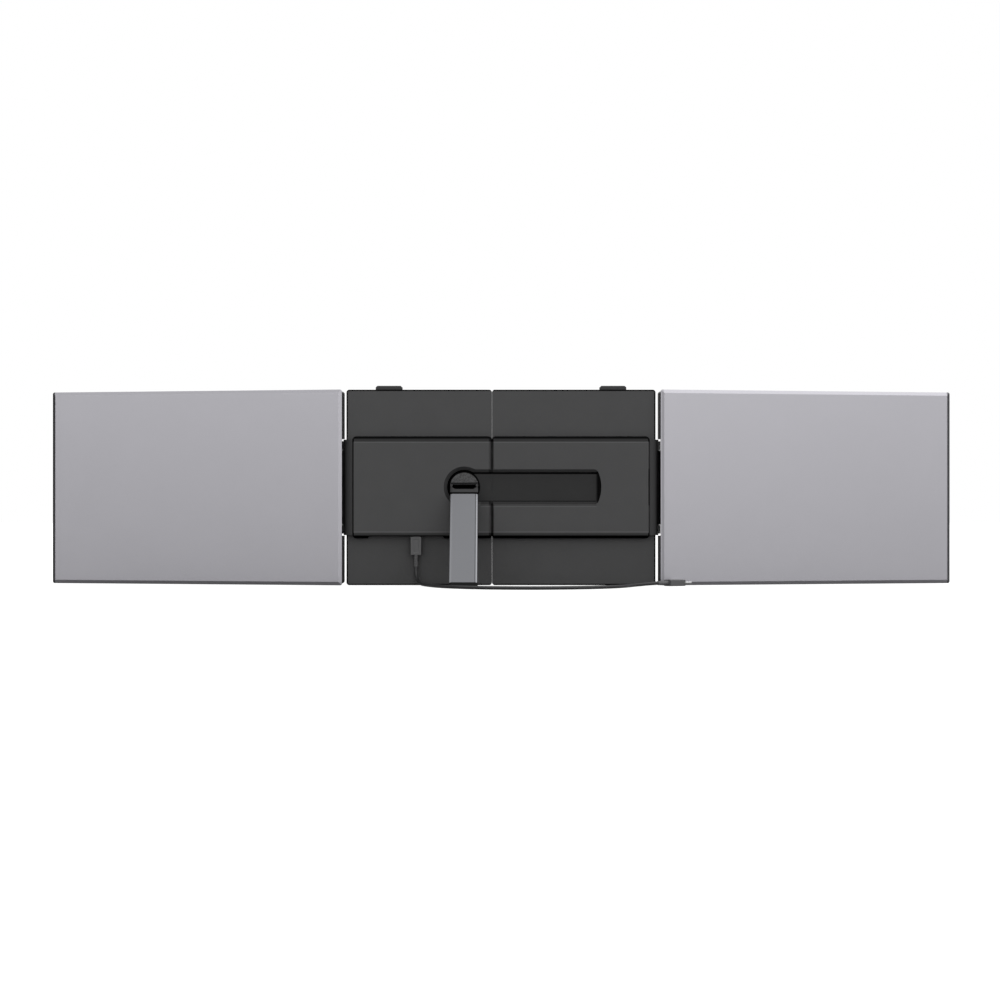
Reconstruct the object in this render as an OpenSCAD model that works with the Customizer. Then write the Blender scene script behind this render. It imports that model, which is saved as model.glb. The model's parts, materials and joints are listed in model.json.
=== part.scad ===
// Three-screen extender for a laptop: a telescopic frame that hooks over the laptop's lid,
// a screen hinged to each end of it, and a kickstand that turns and tilts out of the hub.
// Millimetres. Z is up, Y runs from the rear of the hub to the user, and the desk is Z = 0.

/* [Frame] */
// Height of the frame plates and of the screens
frame_h = 202; // [190:1:220]
// Half the width of the closed frame
frame_half_w = 159.7; // [158:0.1:168]
// Thickness of a frame plate
plate_t = 4; // [3.5:0.5:6]
// Corner radius of a frame plate
plate_r = 3; // [1:0.5:5]
// Place of the split between the two halves, from the middle
split_x = -9.3; // [-14:0.1:-6]
// Gap between the halves when the frame is closed
split_gap = 0.1; // [0.1:0.1:1]
// Thickness of the rubber pads that the lid lies against
pad_t = 0.9; // [0.6:0.1:2]

/* [Hub] */
// Height of the hub
hub_h = 105.4; // [98:0.1:112]
// How far the hub stands out from the plates
hub_d = 9.5; // [9.5:0.1:14]
// Wall of the hub's covers
hub_wall = 1.6; // [1.2:0.1:2]
// Height of the rounded edge along the top and bottom of the hub
hub_edge_h = 5.2; // [3:0.1:7]
// Depth of that rounded edge
hub_edge_d = 4.2; // [3:0.1:5]
// Corner radius of the hub, seen from behind
hub_r = 4; // [2:0.5:6]
// Distance from a hub cover's end to the end of its plate
hub_end = 6.7; // [6:0.1:8]
// Chamfer of the covers beside the split
split_chamfer = 1.9; // [0.5:0.1:2.5]
// Width of the bay for the sockets in the hub's lower edge
bay_w = 76; // [60:1:90]
// Depth of that bay, upwards
bay_h = 2.4; // [2:0.1:5]
// Distance from the middle of the bay to the lead's plug
bay_off = 10.2; // [9:0.1:14]

/* [Telescopic rails] */
// Height of a rail
rail_h = 10; // [8:1:12]
// Thickness of a rail
rail_t = 1.8; // [1.5:0.1:2]
// Length of the rails in the left half
rail_in = 52; // [40:1:56]
// Length of the rails in the right half
rail_out = 109; // [100:1:120]
// Length of a rail's guide
guide_l = 30; // [20:1:40]

/* [Screens] */
// Width of a screen
screen_w = 322.3; // [318:0.1:323]
// Thickness of a screen
screen_t = 10; // [9.5:0.1:12]
// Distance of a screen's back from the plane of the hub's face
screen_y = 1.5; // [1.2:0.1:2]
// Wall of the aluminium back shell
shell_wall = 1.2; // [0.8:0.1:1.4]
// Width of the bevel round the back shell
bevel_w = 3.5; // [2:0.1:4]
// Depth of that bevel
bevel_d = 1.5; // [0.5:0.1:1.8]
// Depth of the back shell's side
shell_d = 2.4; // [2.2:0.1:3]
// Corner radius of the back shell
shell_r = 2; // [1:0.5:3]
// How far the shell stands back from the plastic frame beside the hinge
shell_in = 0.5; // [0.2:0.1:0.8]
// How far the plastic frame stands back from the shell's far end
inset_x = 0.4; // [0.3:0.1:1]
// How far the plastic frame stands back from the shell's top and bottom
inset_z = 1.8; // [0.5:0.1:2.5]
// Wall of the plastic frame
rim_wall = 1.8; // [1.2:0.1:2]
// Thickness of the front glass
glass_t = 1; // [0.7:0.1:1.2]
// Border beside the display module
side_border = 6.45; // [6:0.05:10]
// Border above the display module
top_border = 8.5; // [6:0.1:12]
// Thickness of the display module
lcd_t = 3; // [2:0.1:3.2]
// Height of the chin below the display module
chin_h = 17.5; // [15:0.5:19]
// Angle at which the screens stand open towards the user
screen_angle = 14.9; // [0:0.1:30]

/* [Screen hinges] */
// Height of a hinge
hinge_h = 98.6; // [90:0.1:102]
// Distance of a hinge axis from the end of its plate
hinge_out = 2.9; // [2.9:0.1:3.2]
// Radius of a hinge knuckle
knuckle_r = 2.6; // [2.2:0.1:2.6]
// Height of each fixed knuckle
knuckle_h = 9; // [6:0.5:14]
// Radius of a hinge pin
pin_r = 1.2; // [0.8:0.1:1.4]
// Gap that a folded screen keeps
fold_gap = 0.3; // [0.3:0.1:1]
// Gap from the left plate to the left screen, laid out flat
screen_gap_left = 1.3; // [1:0.1:1.5]
// Gap from the right plate to the right screen, laid out flat
screen_gap_right = 0.5; // [0.5:0.1:1]

/* [Kickstand] */
// Place of the swivel along the frame
stand_x = -37.9; // [-42:0.1:-34]
// Width of the leg
leg_w = 28.6; // [24:0.1:29]
// Thickness of the leg
leg_t = 4.8; // [4:0.1:4.8]
// Length of the leg from its hinge to the end of the foot
leg_l = 138; // [134:0.5:140]
// Length of the plastic block at the hinge
block_l = 14; // [14:0.1:20]
// Length of the rubber foot
foot_l = 5.5; // [5:0.1:8]
// Width of the leg's bevels
leg_bevel = 2.2; // [1:0.1:2.4]
// Radius of the swivel's head
head_r = 14.8; // [14.6:0.1:15.4]
// Height of the leg's hinge above the middle of the swivel
tilt_up = 1.8; // [1.5:0.1:2.5]
// Depth of the pocket that the kickstand folds into
pocket_d = 5.6; // [5.5:0.1:5.8]
// Radius of the swivel's stem
stem_r = 6; // [4:0.5:7]

/* [Lid hooks] */
// Distance of each hook from the middle of the frame
hook_x = 115.8; // [100:0.1:125]
// Width of a hook
hook_w = 27.5; // [20:0.5:35]
// How far a hook stands above the frame
hook_up = 4.1; // [3.8:0.1:6]
// Thickness of the lid that the hook takes
lid_t = 7.3; // [5:0.1:9]
// Length of the hook's stem in the plate
stem_l = 18; // [12:1:24]

/* [Lead] */
// Distance of the lead's plug from the left end of the frame
plug_end = 72; // [70:0.1:74]
// Diameter of the lead
lead_d = 3.6; // [3:0.1:4]
// Length of a plug's moulded body
plug_l = 18.6; // [16:0.1:24]
// Width of a plug's moulded body
plug_w = 12.3; // [11:0.1:13]
// Thickness of a plug's moulded body
plug_t = 6.4; // [6:0.1:7]
// Length of a strain relief
relief_l = 12; // [8:0.5:16]

/* [Hidden] */
$fn = 48;
fit = 0.05;                                // radial clearance of what turns or slides
seam = 0.15;                               // gap round a piece that drops into another
cut = 1;                                   // overshoot of a cutting shape
mid_z = frame_h / 2;
plate_y0 = hub_d;
plate_y1 = hub_d + plate_t;
hub_z0 = mid_z - hub_h / 2;
hub_z1 = mid_z + hub_h / 2;
hub_x = frame_half_w - hub_end;            // outer end of a hub cover
left_x1 = split_x - split_gap / 2;
right_x0 = split_x + split_gap / 2;
screw_r = 1.1;
head_h = 1.6;
post_r = 1.8;
boss_r = 2.7;
screw_in = 9.5;                            // hub screws, in from the hub's long edges
screw_end = 9;                             // and from the covers' ends
screw_heights = [hub_z0 + screw_in, hub_z1 - screw_in];
part_gap = 0.5;
// kickstand
stand_z = mid_z + 0.4;
tilt_z = stand_z + tilt_up;
face_gap = 0.5;                            // the folded leg lies this far below the hub's face
leg_in = leg_t / 2 - 0.1;                  // from the hinge axis to the leg's inner side
leg_out = leg_t - leg_in;
tilt_y = face_gap + leg_out;
barrel_r = leg_in - 0.1;
barrel_l = leg_w - 4.4;
window_l = 7.3;
tilt_pin_r = 1;
tilt_rest = acos(tilt_z / leg_l);
slot_r = leg_w / 2 + 0.9;                  // half the height of the leg's slot
lip_w = 3.1;                               // chamfer round the slot and the swivel's pocket
swivel_r = head_r + 2.8;
scoop_l = 7.6;                             // slope at the slot's end, for a fingertip
scoop_step = 1.4;                          // its last, steeper stretch
scoop_room = 2.8;
slot_end_r = 40;                           // the slot's end bulges a little
slot_corner_r = 6;
slot_x1 = stand_x - tilt_up + leg_l + leg_out * tan(tilt_rest) + scoop_room;
floor_wall = 1.3;
stem_gap = 0.1;
washer_r = 9;
washer_t = 1.1;
// rails
rail_off = hub_h / 2 - screw_in - boss_r - part_gap - rail_h / 2;
rail_seat = 1.2;
rail_y0 = plate_y0 - rail_seat - rail_t;
rail_foot = 10;
rail_x0 = split_x - rail_in;
rail_x1 = split_x + rail_out;
guide_in = 20;
guide_x0 = right_x0 + guide_in;
guide_wall = 1.5;
guide_side = 2.2;
guide_lip = 2;
lap_in = 1.5;                              // strip that closes the split behind the covers
lap_out = 5;
lap_t = 0.9;
lap_gap = 0.1;
lap_end = hub_wall + 0.6;
// pads for the lid
pad_w = 10;
pad_h = frame_h / 5;
pad_in = frame_half_w / 13;
pad_gap = frame_half_w * 0.69;
pad_z = frame_h / 8.4;
// screens
lcd_w = screen_w - 2 * side_border;
lcd_h = frame_h - chin_h - top_border;
screen_y1 = screen_y + screen_t;
shell_y1 = screen_y + shell_d;
glass_y0 = screen_y1 - glass_t;
lcd_y0 = glass_y0 - lcd_t;
ledge = 1.2;
screen_r = 3;
spigot = 0.45;
spigot_gap = 0.3;
board_in = screen_w / 16;
board_w = screen_w * 0.37;
board_h = chin_h * 0.6;
board_z = inset_z + rim_wall + ledge + 1.2;
board_t = 1;
board_lift = 1.5;
chip_t = 1.2;
button_z = frame_h / 5;
button_r = 2.4;
button_l = inset_x + rim_wall + ledge + 0.1;
button_y = (shell_y1 + glass_y0) / 2;
// hinges
hinge_x = frame_half_w + hinge_out;
hinge_z0 = mid_z - hinge_h / 2;
hinge_z1 = mid_z + hinge_h / 2;
hinge_y_left = (plate_y1 + pad_t + fold_gap + screen_y1) / 2;
hinge_y_right = (2 * hinge_y_left - screen_y + 2 * fold_gap + screen_y1) / 2;
arm_x0 = hinge_x + 1.1;                    // the screen's hinge leaf, where it runs forwards
arm_x1 = hinge_x + knuckle_r - 0.1;
leaf_t = 1.4;
leaf_y0 = screen_y + shell_wall + 1.9;
leaf_w = 26;
leaf_x1 = hinge_x + leaf_w;
leaf_hole = 8;
leaf_hole_in = 18;
notch_x1 = hinge_x + knuckle_r + 0.4;      // the screen is cut back to here round its hinge
cover_r = 12;
cover_x = frame_half_w + 3.6 - cover_r;    // centre of the hinge cover's round
cover_y = 12.4;
cover_wall = 1.5;
cover_y1 = 8.6;
// hooks
arm_t = 1.8;
lip_t = 1.4;
lip_drop = hook_up - 0.4;
hook_back = plate_y0 + 0.8;
hook_deep = 2;
hook_pad_t = 0.9;
hook_round = 2.4;
// sockets and lead
plug_x = plug_end - frame_half_w;
bay_x = plug_x - bay_off;
driver_in = 2;                             // the board starts inside the bay's left end
driver_gap = 0.6;                          // and ends short of the rails
driver_x0 = bay_x - bay_w / 2 + driver_in;
driver_w = rail_x0 - driver_gap - driver_x0;
driver_h = 30;
driver_t = 1.2;
bay_z = hub_z0 + bay_h;
socket_w = 9;
socket_t = 3.2;
socket_l = 7.4;
socket_y = 4.7;
socket_pitch = 2 * (plug_x - bay_x);
tip_w = 8.34;
tip_t = 2.56;
tip_l = 6.6;
plug_z1 = bay_z - 0.7;
plug_z0 = plug_z1 - plug_l;
relief_z0 = plug_z0 - relief_l;
relief_r = 2.5;
lead_r = lead_d / 2;
// the free lead, from the strain relief down to the desk and round in front of the foot:
// X is counted from the plug, and the first point is the relief's end
lead_points = [
    [0, 3.9, 14], [1, 0, 8.4], [3.2, -7, 4], [6.2, -17, 2.2], [9.7, -30, 1.8],
    [13.7, -47, 1.8], [18.7, -65, 1.8], [25.7, -84, 1.8], [34.7, -101, 1.8],
    [47.7, -117, 1.8], [63.7, -130, 1.8], [82.7, -139, 1.8], [103.7, -144, 1.8],
    [125.7, -144, 1.8], [147.7, -139, 1.8], [167.7, -130, 1.8], [185.7, -117, 1.8],
    [199.7, -101, 1.8], [209.7, -84, 1.8], [215.7, -68, 1.8], [221.7, -53, 1.9],
    [229.7, -41, 2.2], [239.7, -32, 2.8], [247.7, -27, 3.2]];
lead_route = concat([[plug_x, socket_y, relief_z0]], [for (p = lead_points) p + [plug_x, 0, 0]]);
lead_sides = 8;
end_dir = [0.848, 0.53, 0];                // heading of the far plug on the desk
end_turn = atan2(end_dir[1], end_dir[0]);

LEFT = -1;
RIGHT = 1;

// ---- shared shapes -------------------------------------------------------------------

module on_side(side) mirror([side < 0 ? 1 : 0, 0, 0]) children();

// a profile drawn in Y and Z, run along X from x0 to x1
module along_x(x0, x1) translate([x0, 0, 0]) rotate([90, 0, 90]) linear_extrude(x1 - x0)
    children();

// a profile drawn in X and Z, run along Y from y0 to y1
module along_y(y0, y1) translate([0, y1, 0]) rotate([90, 0, 0]) linear_extrude(y1 - y0)
    children();

// a profile drawn in X and Y, run along Z from z0 to z1
module along_z(z0, z1) translate([0, 0, z0]) linear_extrude(z1 - z0) children();

module rounded(x0, x1, z0, z1, r) {
    translate([x0 + r, z0]) square([x1 - x0 - 2 * r, z1 - z0]);
    translate([x0, z0 + r]) square([x1 - x0, z1 - z0 - 2 * r]);
    for (x = [x0 + r, x1 - r], z = [z0 + r, z1 - r]) translate([x, z]) circle(r);
}

module pill(w, t) {
    square([w - t, t], center = true);
    for (s = [-1, 1]) translate([s * (w - t) / 2, 0]) circle(t / 2);
}

function arc(cx, cy, rx, ry, a0, a1, n) =
    [for (i = [0 : n]) let (a = a0 + (a1 - a0) * i / n) [cx + rx * cos(a), cy + ry * sin(a)]];

function hinge_y(side) = side < 0 ? hinge_y_left : hinge_y_right;
function screen_x0(side) =
    frame_half_w + (side < 0 ? screen_gap_left : screen_gap_right);

// ---- frame ---------------------------------------------------------------------------

function screw_places(side) = side < 0
    ? [for (x = [-hub_x + screw_end, left_x1 - screw_end], z = screw_heights) [x, z]]
    : [for (x = [right_x0 + screw_end, hub_x - screw_end], z = screw_heights) [x, z]];

module plate(side) color([0.20, 0.20, 0.20]) difference() {
    union() {
        along_y(plate_y0, plate_y1) if (side < 0)
            rounded(-frame_half_w, left_x1, 0, frame_h, plate_r);
        else
            rounded(right_x0, frame_half_w, 0, frame_h, plate_r);
        // the strip that closes the split inside the hub
        if (side < 0) along_z(hub_z0 + lap_end, hub_z1 - lap_end) polygon([
            [left_x1 - lap_in, plate_y0 + 0.5], [left_x1 - lap_in, plate_y0 - lap_t],
            [split_x + lap_out, plate_y0 - lap_t], [split_x + lap_out, plate_y0 - lap_gap],
            [left_x1, plate_y0 - lap_gap], [left_x1, plate_y0 + 0.5]]);
    }
    // seat of the lid hook, open at the top
    translate([side * hook_x - hook_w / 2 - seam, plate_y1 - hook_deep, frame_h - stem_l - seam])
        cube([hook_w + 2 * seam, hook_deep + cut, stem_l + cut + seam]);
    translate([side * hook_x - hook_w / 2 - seam, hook_back - seam, frame_h - 1])
        cube([hook_w + 2 * seam, plate_t, 1 + cut]);
    // sunk holes of the hub's screws
    for (p = screw_places(side)) translate([p[0], 0, p[1]]) rotate([-90, 0, 0]) {
        translate([0, 0, plate_y0 - cut]) cylinder(r = screw_r + fit, h = plate_t + 2 * cut);
        translate([0, 0, plate_y1 - head_h - fit]) cylinder(r = 2 * screw_r + fit, h = plate_t);
    }
}

module lid_pads(side) color([0.08, 0.08, 0.08])
    for (x = [frame_half_w - pad_in, frame_half_w - pad_in - pad_gap],
        z = [pad_z, frame_h - pad_z * 1.4 - pad_h])
        translate([side * x - pad_w / 2, plate_y1, z]) cube([pad_w, pad_t, pad_h]);

module hub_screws(side) color("silver")
    for (p = screw_places(side)) translate([p[0], 0, p[1]]) rotate([-90, 0, 0]) {
        translate([0, 0, plate_y1 - head_h]) cylinder(r = 2 * screw_r, h = head_h);
        translate([0, 0, plate_y1 - 8]) cylinder(r = screw_r, h = 8 - head_h);
    }

module lid_hook(side) color([0.07, 0.07, 0.07]) difference() {
    along_x(side * hook_x - hook_w / 2, side * hook_x + hook_w / 2) polygon([
        [plate_y1 - hook_deep + seam, frame_h - stem_l],
        [plate_y1, frame_h - stem_l],
        [plate_y1, frame_h + hook_up - arm_t],
        [plate_y1 + lid_t, frame_h + hook_up - arm_t],
        [plate_y1 + lid_t, frame_h + hook_up - lip_drop],
        [plate_y1 + lid_t + lip_t, frame_h + hook_up - lip_drop],
        [plate_y1 + lid_t + lip_t, frame_h + hook_up - 0.7],
        [plate_y1 + lid_t + lip_t - 0.7, frame_h + hook_up],
        [hook_back + 0.8, frame_h + hook_up],
        [hook_back, frame_h + hook_up - 0.8],
        [hook_back, frame_h - 0.8],
        [plate_y1 - hook_deep + seam, frame_h - 0.8]]);
    // rounded upper corners
    for (s = [-1, 1]) translate([side * hook_x + s * hook_w / 2, 0, frame_h + hook_up])
        rotate([0, 45, 0]) cube([hook_round, 8 * lid_t, hook_round], center = true);
}

module hook_pad(side) color([0.12, 0.12, 0.12])
    translate([side * hook_x - hook_w / 2 + 2, plate_y1 + 0.3, frame_h + hook_up - arm_t - hook_pad_t])
        cube([hook_w - 4, lid_t - 0.6, hook_pad_t]);

// ---- hub -----------------------------------------------------------------------------

// the hub between two ends, shrunk by a skin; each end has its own chamfer
module hub_form(x0, x1, chamfer0, chamfer1, skin) intersection() {
    along_x(x0 + skin, x1 - skin) polygon(concat(
        [[plate_y0 + (skin > 0 ? cut : 0), hub_z0 + skin]],
        arc(hub_edge_d, hub_z0 + hub_edge_h, hub_edge_d - skin, hub_edge_h - skin, -90, -180, 5),
        arc(hub_edge_d, hub_z1 - hub_edge_h, hub_edge_d - skin, hub_edge_h - skin, 180, 90, 5),
        [[plate_y0 + (skin > 0 ? cut : 0), hub_z1 - skin]]));
    along_z(hub_z0, hub_z1) polygon([
        [x0, plate_y0 + cut], [x0, chamfer0 + skin], [x0 + chamfer0 + skin, skin],
        [x1 - chamfer1 - skin, skin], [x1, chamfer1 + skin], [x1, plate_y0 + cut]]);
    along_y(0, plate_y0 + cut) rounded(x0, x1, hub_z0, hub_z1, hub_r);
}

// the slot for the folded leg and the round pocket of the swivel, grown by a wall
module stand_pocket(wall, floor_y) {
    front = wall > 0 ? 0 : -cut;
    z0 = stand_z - slot_r;
    z1 = stand_z + slot_r;
    x1 = slot_x1 + wall;
    corner_z = slot_r + lip_w - slot_corner_r;
    corner_a = asin(corner_z / (slot_end_r - slot_corner_r));
    end_x = slot_x1 - slot_end_r;
    corner_x = end_x + (slot_end_r - slot_corner_r) * cos(corner_a);
    corner_w = slot_corner_r + wall;
    intersection() {
        along_x(stand_x, x1) polygon([
            [floor_y, z0 - wall], [lip_w, z0 - wall], [0, z0 - lip_w - wall],
            [front, z0 - lip_w - wall], [front, z1 + lip_w + wall], [0, z1 + lip_w + wall],
            [lip_w, z1 + wall], [floor_y, z1 + wall]]);
        along_z(0, frame_h) polygon([
            [stand_x - cut, front], [x1, front], [x1, 0],
            [x1 - scoop_step, floor_y / 2], [x1 - scoop_l, floor_y], [stand_x - cut, floor_y]]);
        along_y(front, floor_y) translate([0, stand_z]) polygon(concat(
            [[stand_x - cut, -corner_z - corner_w]],
            arc(corner_x, -corner_z, corner_w, corner_w, -90, -corner_a, 8),
            arc(end_x, 0, slot_end_r + wall, slot_end_r + wall, -corner_a, corner_a, 12),
            arc(corner_x, corner_z, corner_w, corner_w, corner_a, 90, 8),
            [[stand_x - cut, corner_z + corner_w]]));
    }
    translate([stand_x, 0, stand_z]) rotate([-90, 0, 0]) rotate_extrude() polygon([
        [0, front], [swivel_r + lip_w + wall, front], [swivel_r + lip_w + wall, 0],
        [swivel_r + wall, lip_w], [swivel_r + wall, floor_y], [0, floor_y]]);
}

module hub_cover(side) color([0.22, 0.22, 0.22]) difference() {
    x0 = side < 0 ? -hub_x : right_x0;
    x1 = side < 0 ? left_x1 : hub_x;
    c0 = side < 0 ? 1.2 : split_chamfer;
    c1 = side < 0 ? split_chamfer : 1.2;
    union() {
        difference() {
            hub_form(x0, x1, c0, c1, 0);
            hub_form(x0, x1, c0, c1, hub_wall);
            // the rails run through the walls beside the split
            for (s = [-1, 1]) translate([split_x - 8, rail_y0 - 2 * seam,
                mid_z + s * rail_off - rail_h / 2 - 2 * seam])
                cube([16, plate_y0, rail_h + 4 * seam]);
            // and so does the strip that closes it
            translate([split_x - 8, plate_y0 - lap_t - 2 * seam, hub_z0 + lap_end - 2 * seam])
                cube([16, plate_y0, hub_h - 2 * lap_end + 4 * seam]);
        }
        intersection() {
            hub_form(x0, x1, c0, c1, 0);
            union() {
                stand_pocket(floor_wall, pocket_d + floor_wall);
                for (p = screw_places(side)) translate([p[0], 0, p[1]]) rotate([-90, 0, 0])
                    cylinder(r = boss_r, h = plate_y0);
                if (side < 0) bay(hub_wall, hub_wall);
            }
        }
    }
    stand_pocket(0, pocket_d);
    for (p = screw_places(side)) translate([p[0], plate_y1 - 8.3, p[1]]) rotate([-90, 0, 0])
        cylinder(r = screw_r + 0.02, h = 10);
    if (side < 0) {
        bay(0, 0);
        translate([stand_x, 0, stand_z]) rotate([-90, 0, 0])
            cylinder(r = stem_r + fit, h = plate_y0);
        for (s = [0, 1]) translate([plug_x - s * socket_pitch, socket_y, bay_z - cut])
            linear_extrude(hub_wall + 2 * cut) pill(socket_w + 0.3, socket_t + 0.3);
    }
}

// the bay that bares the sockets in the hub's lower edge; its ends slope
module bay(wall, up) along_y(wall > 0 ? 0 : -cut, plate_y0 + (wall > 0 ? 0 : cut)) polygon([
    [bay_x - bay_w / 2 - wall - bay_h, hub_z0 - cut], [bay_x - bay_w / 2 - wall, bay_z + up],
    [bay_x + bay_w / 2 + wall, bay_z + up], [bay_x + bay_w / 2 + wall + bay_h, hub_z0 - cut]]);

module driver_board() color([0.05, 0.25, 0.12]) {
    y0 = socket_y + socket_t / 2;
    translate([driver_x0, y0, bay_z + hub_wall + seam]) {
        cube([driver_w, driver_t, driver_h]);
        // chips: place along and up, width and height, all as shares of the board
        for (p = [[0.08, 0.45, 0.17, 0.4], [0.4, 0.4, 0.2, 0.47], [0.73, 0.4, 0.13, 0.3]])
            translate([p[0] * driver_w, -chip_t, p[1] * driver_h])
                cube([p[2] * driver_w, chip_t, p[3] * driver_h]);
        // posts to the plate behind the board
        for (x = [0.04, 0.96], z = [0.1, 0.9]) translate([x * driver_w, driver_t, z * driver_h])
            rotate([-90, 0, 0]) cylinder(r = post_r, h = plate_y0 - y0 - driver_t);
    }
}

module usb_sockets() color("silver") for (s = [0, 1])
    translate([plug_x - s * socket_pitch, socket_y, bay_z + hub_wall + seam]) {
        difference() {
            linear_extrude(socket_l) pill(socket_w, socket_t);
            translate([0, 0, -cut]) linear_extrude(socket_l - 0.6 + cut)
                pill(tip_w + 0.1, tip_t + 0.1);
        }
        linear_extrude(socket_l) square([6.6, 0.7], center = true);
    }

module slide_rails() color([0.6, 0.6, 0.62]) for (s = [-1, 1]) {
    z0 = mid_z + s * rail_off - rail_h / 2;
    translate([rail_x0, rail_y0, z0]) cube([rail_x1 - rail_x0, rail_t, rail_h]);
    // feet that carry the rail on the left plate
    for (x = [rail_x0 + 2, left_x1 - rail_foot - 2]) translate([x, rail_y0 + rail_t, z0])
        cube([rail_foot, rail_seat, rail_h]);
}

module rail_guides() color([0.14, 0.14, 0.14]) for (s = [-1, 1])
    translate([guide_x0, 0, mid_z + s * rail_off]) difference() {
        translate([0, rail_y0 - guide_wall, -rail_h / 2 - guide_side])
            cube([guide_l, plate_y0 - rail_y0 + guide_wall, rail_h + 2 * guide_side]);
        translate([-cut, rail_y0 - fit, -rail_h / 2 - fit])
            cube([guide_l + 2 * cut, rail_t + 2 * fit, rail_h + 2 * fit]);
        translate([-cut, rail_y0, -rail_h / 2 + guide_lip])
            cube([guide_l + 2 * cut, plate_y0, rail_h - 2 * guide_lip]);
    }

// ---- screen hinges -------------------------------------------------------------------

// the round shoulder at each end of the hub, over the hinge
module hinge_cover(side) color([0.12, 0.12, 0.12]) on_side(side) {
    x0 = hub_x + seam;
    y0 = cover_y - cover_r;
    along_z(hinge_z0, hinge_z1) difference() {
        intersection() {
            translate([cover_x, cover_y]) circle(cover_r, $fn = 96);
            translate([x0, 0]) square([20, cover_y1]);
        }
        difference() {
            translate([cover_x, cover_y]) circle(cover_r - cover_wall, $fn = 96);
            translate([x0 - cut, -cut]) square([cut + 1.2, 20]);
        }
    }
    // end walls
    for (z = [hinge_z0, hinge_z1 - 1.2]) along_z(z, z + 1.2) intersection() {
        translate([cover_x, cover_y]) circle(cover_r - cover_wall / 2, $fn = 96);
        translate([x0, 0]) square([frame_half_w - x0 - seam, plate_y0 - seam - 0.2]);
    }
}

// two fixed knuckles, carried round the end of the plate from inside the cover
module hinge_bracket(side) color([0.3, 0.3, 0.32]) on_side(side) {
    hy = hinge_y(side);
    x0 = hub_x + 2;
    y1 = plate_y0 - seam;
    for (z = [hinge_z0 + 1.5, hinge_z1 - 1.5 - knuckle_h]) difference() {
        along_z(z, z + knuckle_h) union() {
            polygon([
                [x0, y1 - 2.2], [frame_half_w + 0.1, y1 - 2.2],
                [frame_half_w + 1.3, cover_y1 + 0.35], [hinge_x + 0.4, cover_y1 + 0.6],
                [hinge_x + 0.9, hy], [hinge_x - knuckle_r + 0.2, hy],
                [frame_half_w + 0.3, hy - 1], [frame_half_w + 0.3, y1], [x0, y1]]);
            translate([hinge_x, hy]) circle(knuckle_r);
        }
        translate([hinge_x, hy, z - cut]) cylinder(r = pin_r + 0.02, h = knuckle_h + 2 * cut);
    }
}

module hinge_pin(side) color("silver") on_side(side)
    translate([hinge_x, hinge_y(side), hinge_z0 + 1.5]) cylinder(r = pin_r, h = hinge_h - 3);

// a screen is drawn laid out flat on the right, then turned about its hinge
module screen_at(side) on_side(side) translate([hinge_x, hinge_y(side), 0])
    rotate([0, 0, screen_angle]) translate([-hinge_x, -hinge_y(side), 0]) children();

module screen_hinge(side) color([0.3, 0.3, 0.32]) screen_at(side) {
    hy = hinge_y(side);
    z0 = hinge_z0 + 1.5 + knuckle_h + 0.3;
    z1 = hinge_z1 - 1.5 - knuckle_h - 0.3;
    difference() {
        union() {
            along_z(z0, z1) union() {
                translate([arm_x0, leaf_y0]) square([arm_x1 - arm_x0, hy - leaf_y0]);
                translate([hinge_x, hy]) circle(knuckle_r);
            }
            translate([arm_x0, leaf_y0, z0]) cube([leaf_x1 - arm_x0, leaf_t, z1 - z0]);
        }
        translate([hinge_x, hy, z0 - cut]) cylinder(r = pin_r + fit, h = z1 - z0 + 2 * cut);
        for (z = leaf_screws()) translate([leaf_x1 - leaf_hole, 0, z]) rotate([-90, 0, 0])
            cylinder(r = screw_r + 0.02, h = 20);
    }
}

function leaf_screws() = [for (s = [-1, 1]) mid_z + s * (hinge_h / 2 - leaf_hole_in)];

module hinge_screws(side) color("silver") screen_at(side)
    for (z = leaf_screws()) translate([leaf_x1 - leaf_hole, 0, z]) rotate([-90, 0, 0]) {
        translate([0, 0, leaf_y0 + leaf_t]) cylinder(r = 2 * screw_r, h = 0.9);
        translate([0, 0, screen_y + shell_wall + 0.1]) cylinder(r = screw_r,
            h = leaf_y0 + leaf_t - screen_y - shell_wall - 0.1);
    }

// ---- screens -------------------------------------------------------------------------

// the outline that a screen is cut back to round its hinge
module hinge_notch(side, y0) translate([screen_x0(side) - cut, y0, hinge_z0 - 0.5])
    cube([notch_x1 - screen_x0(side) + cut, screen_t + cut, hinge_h + 1]);

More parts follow.
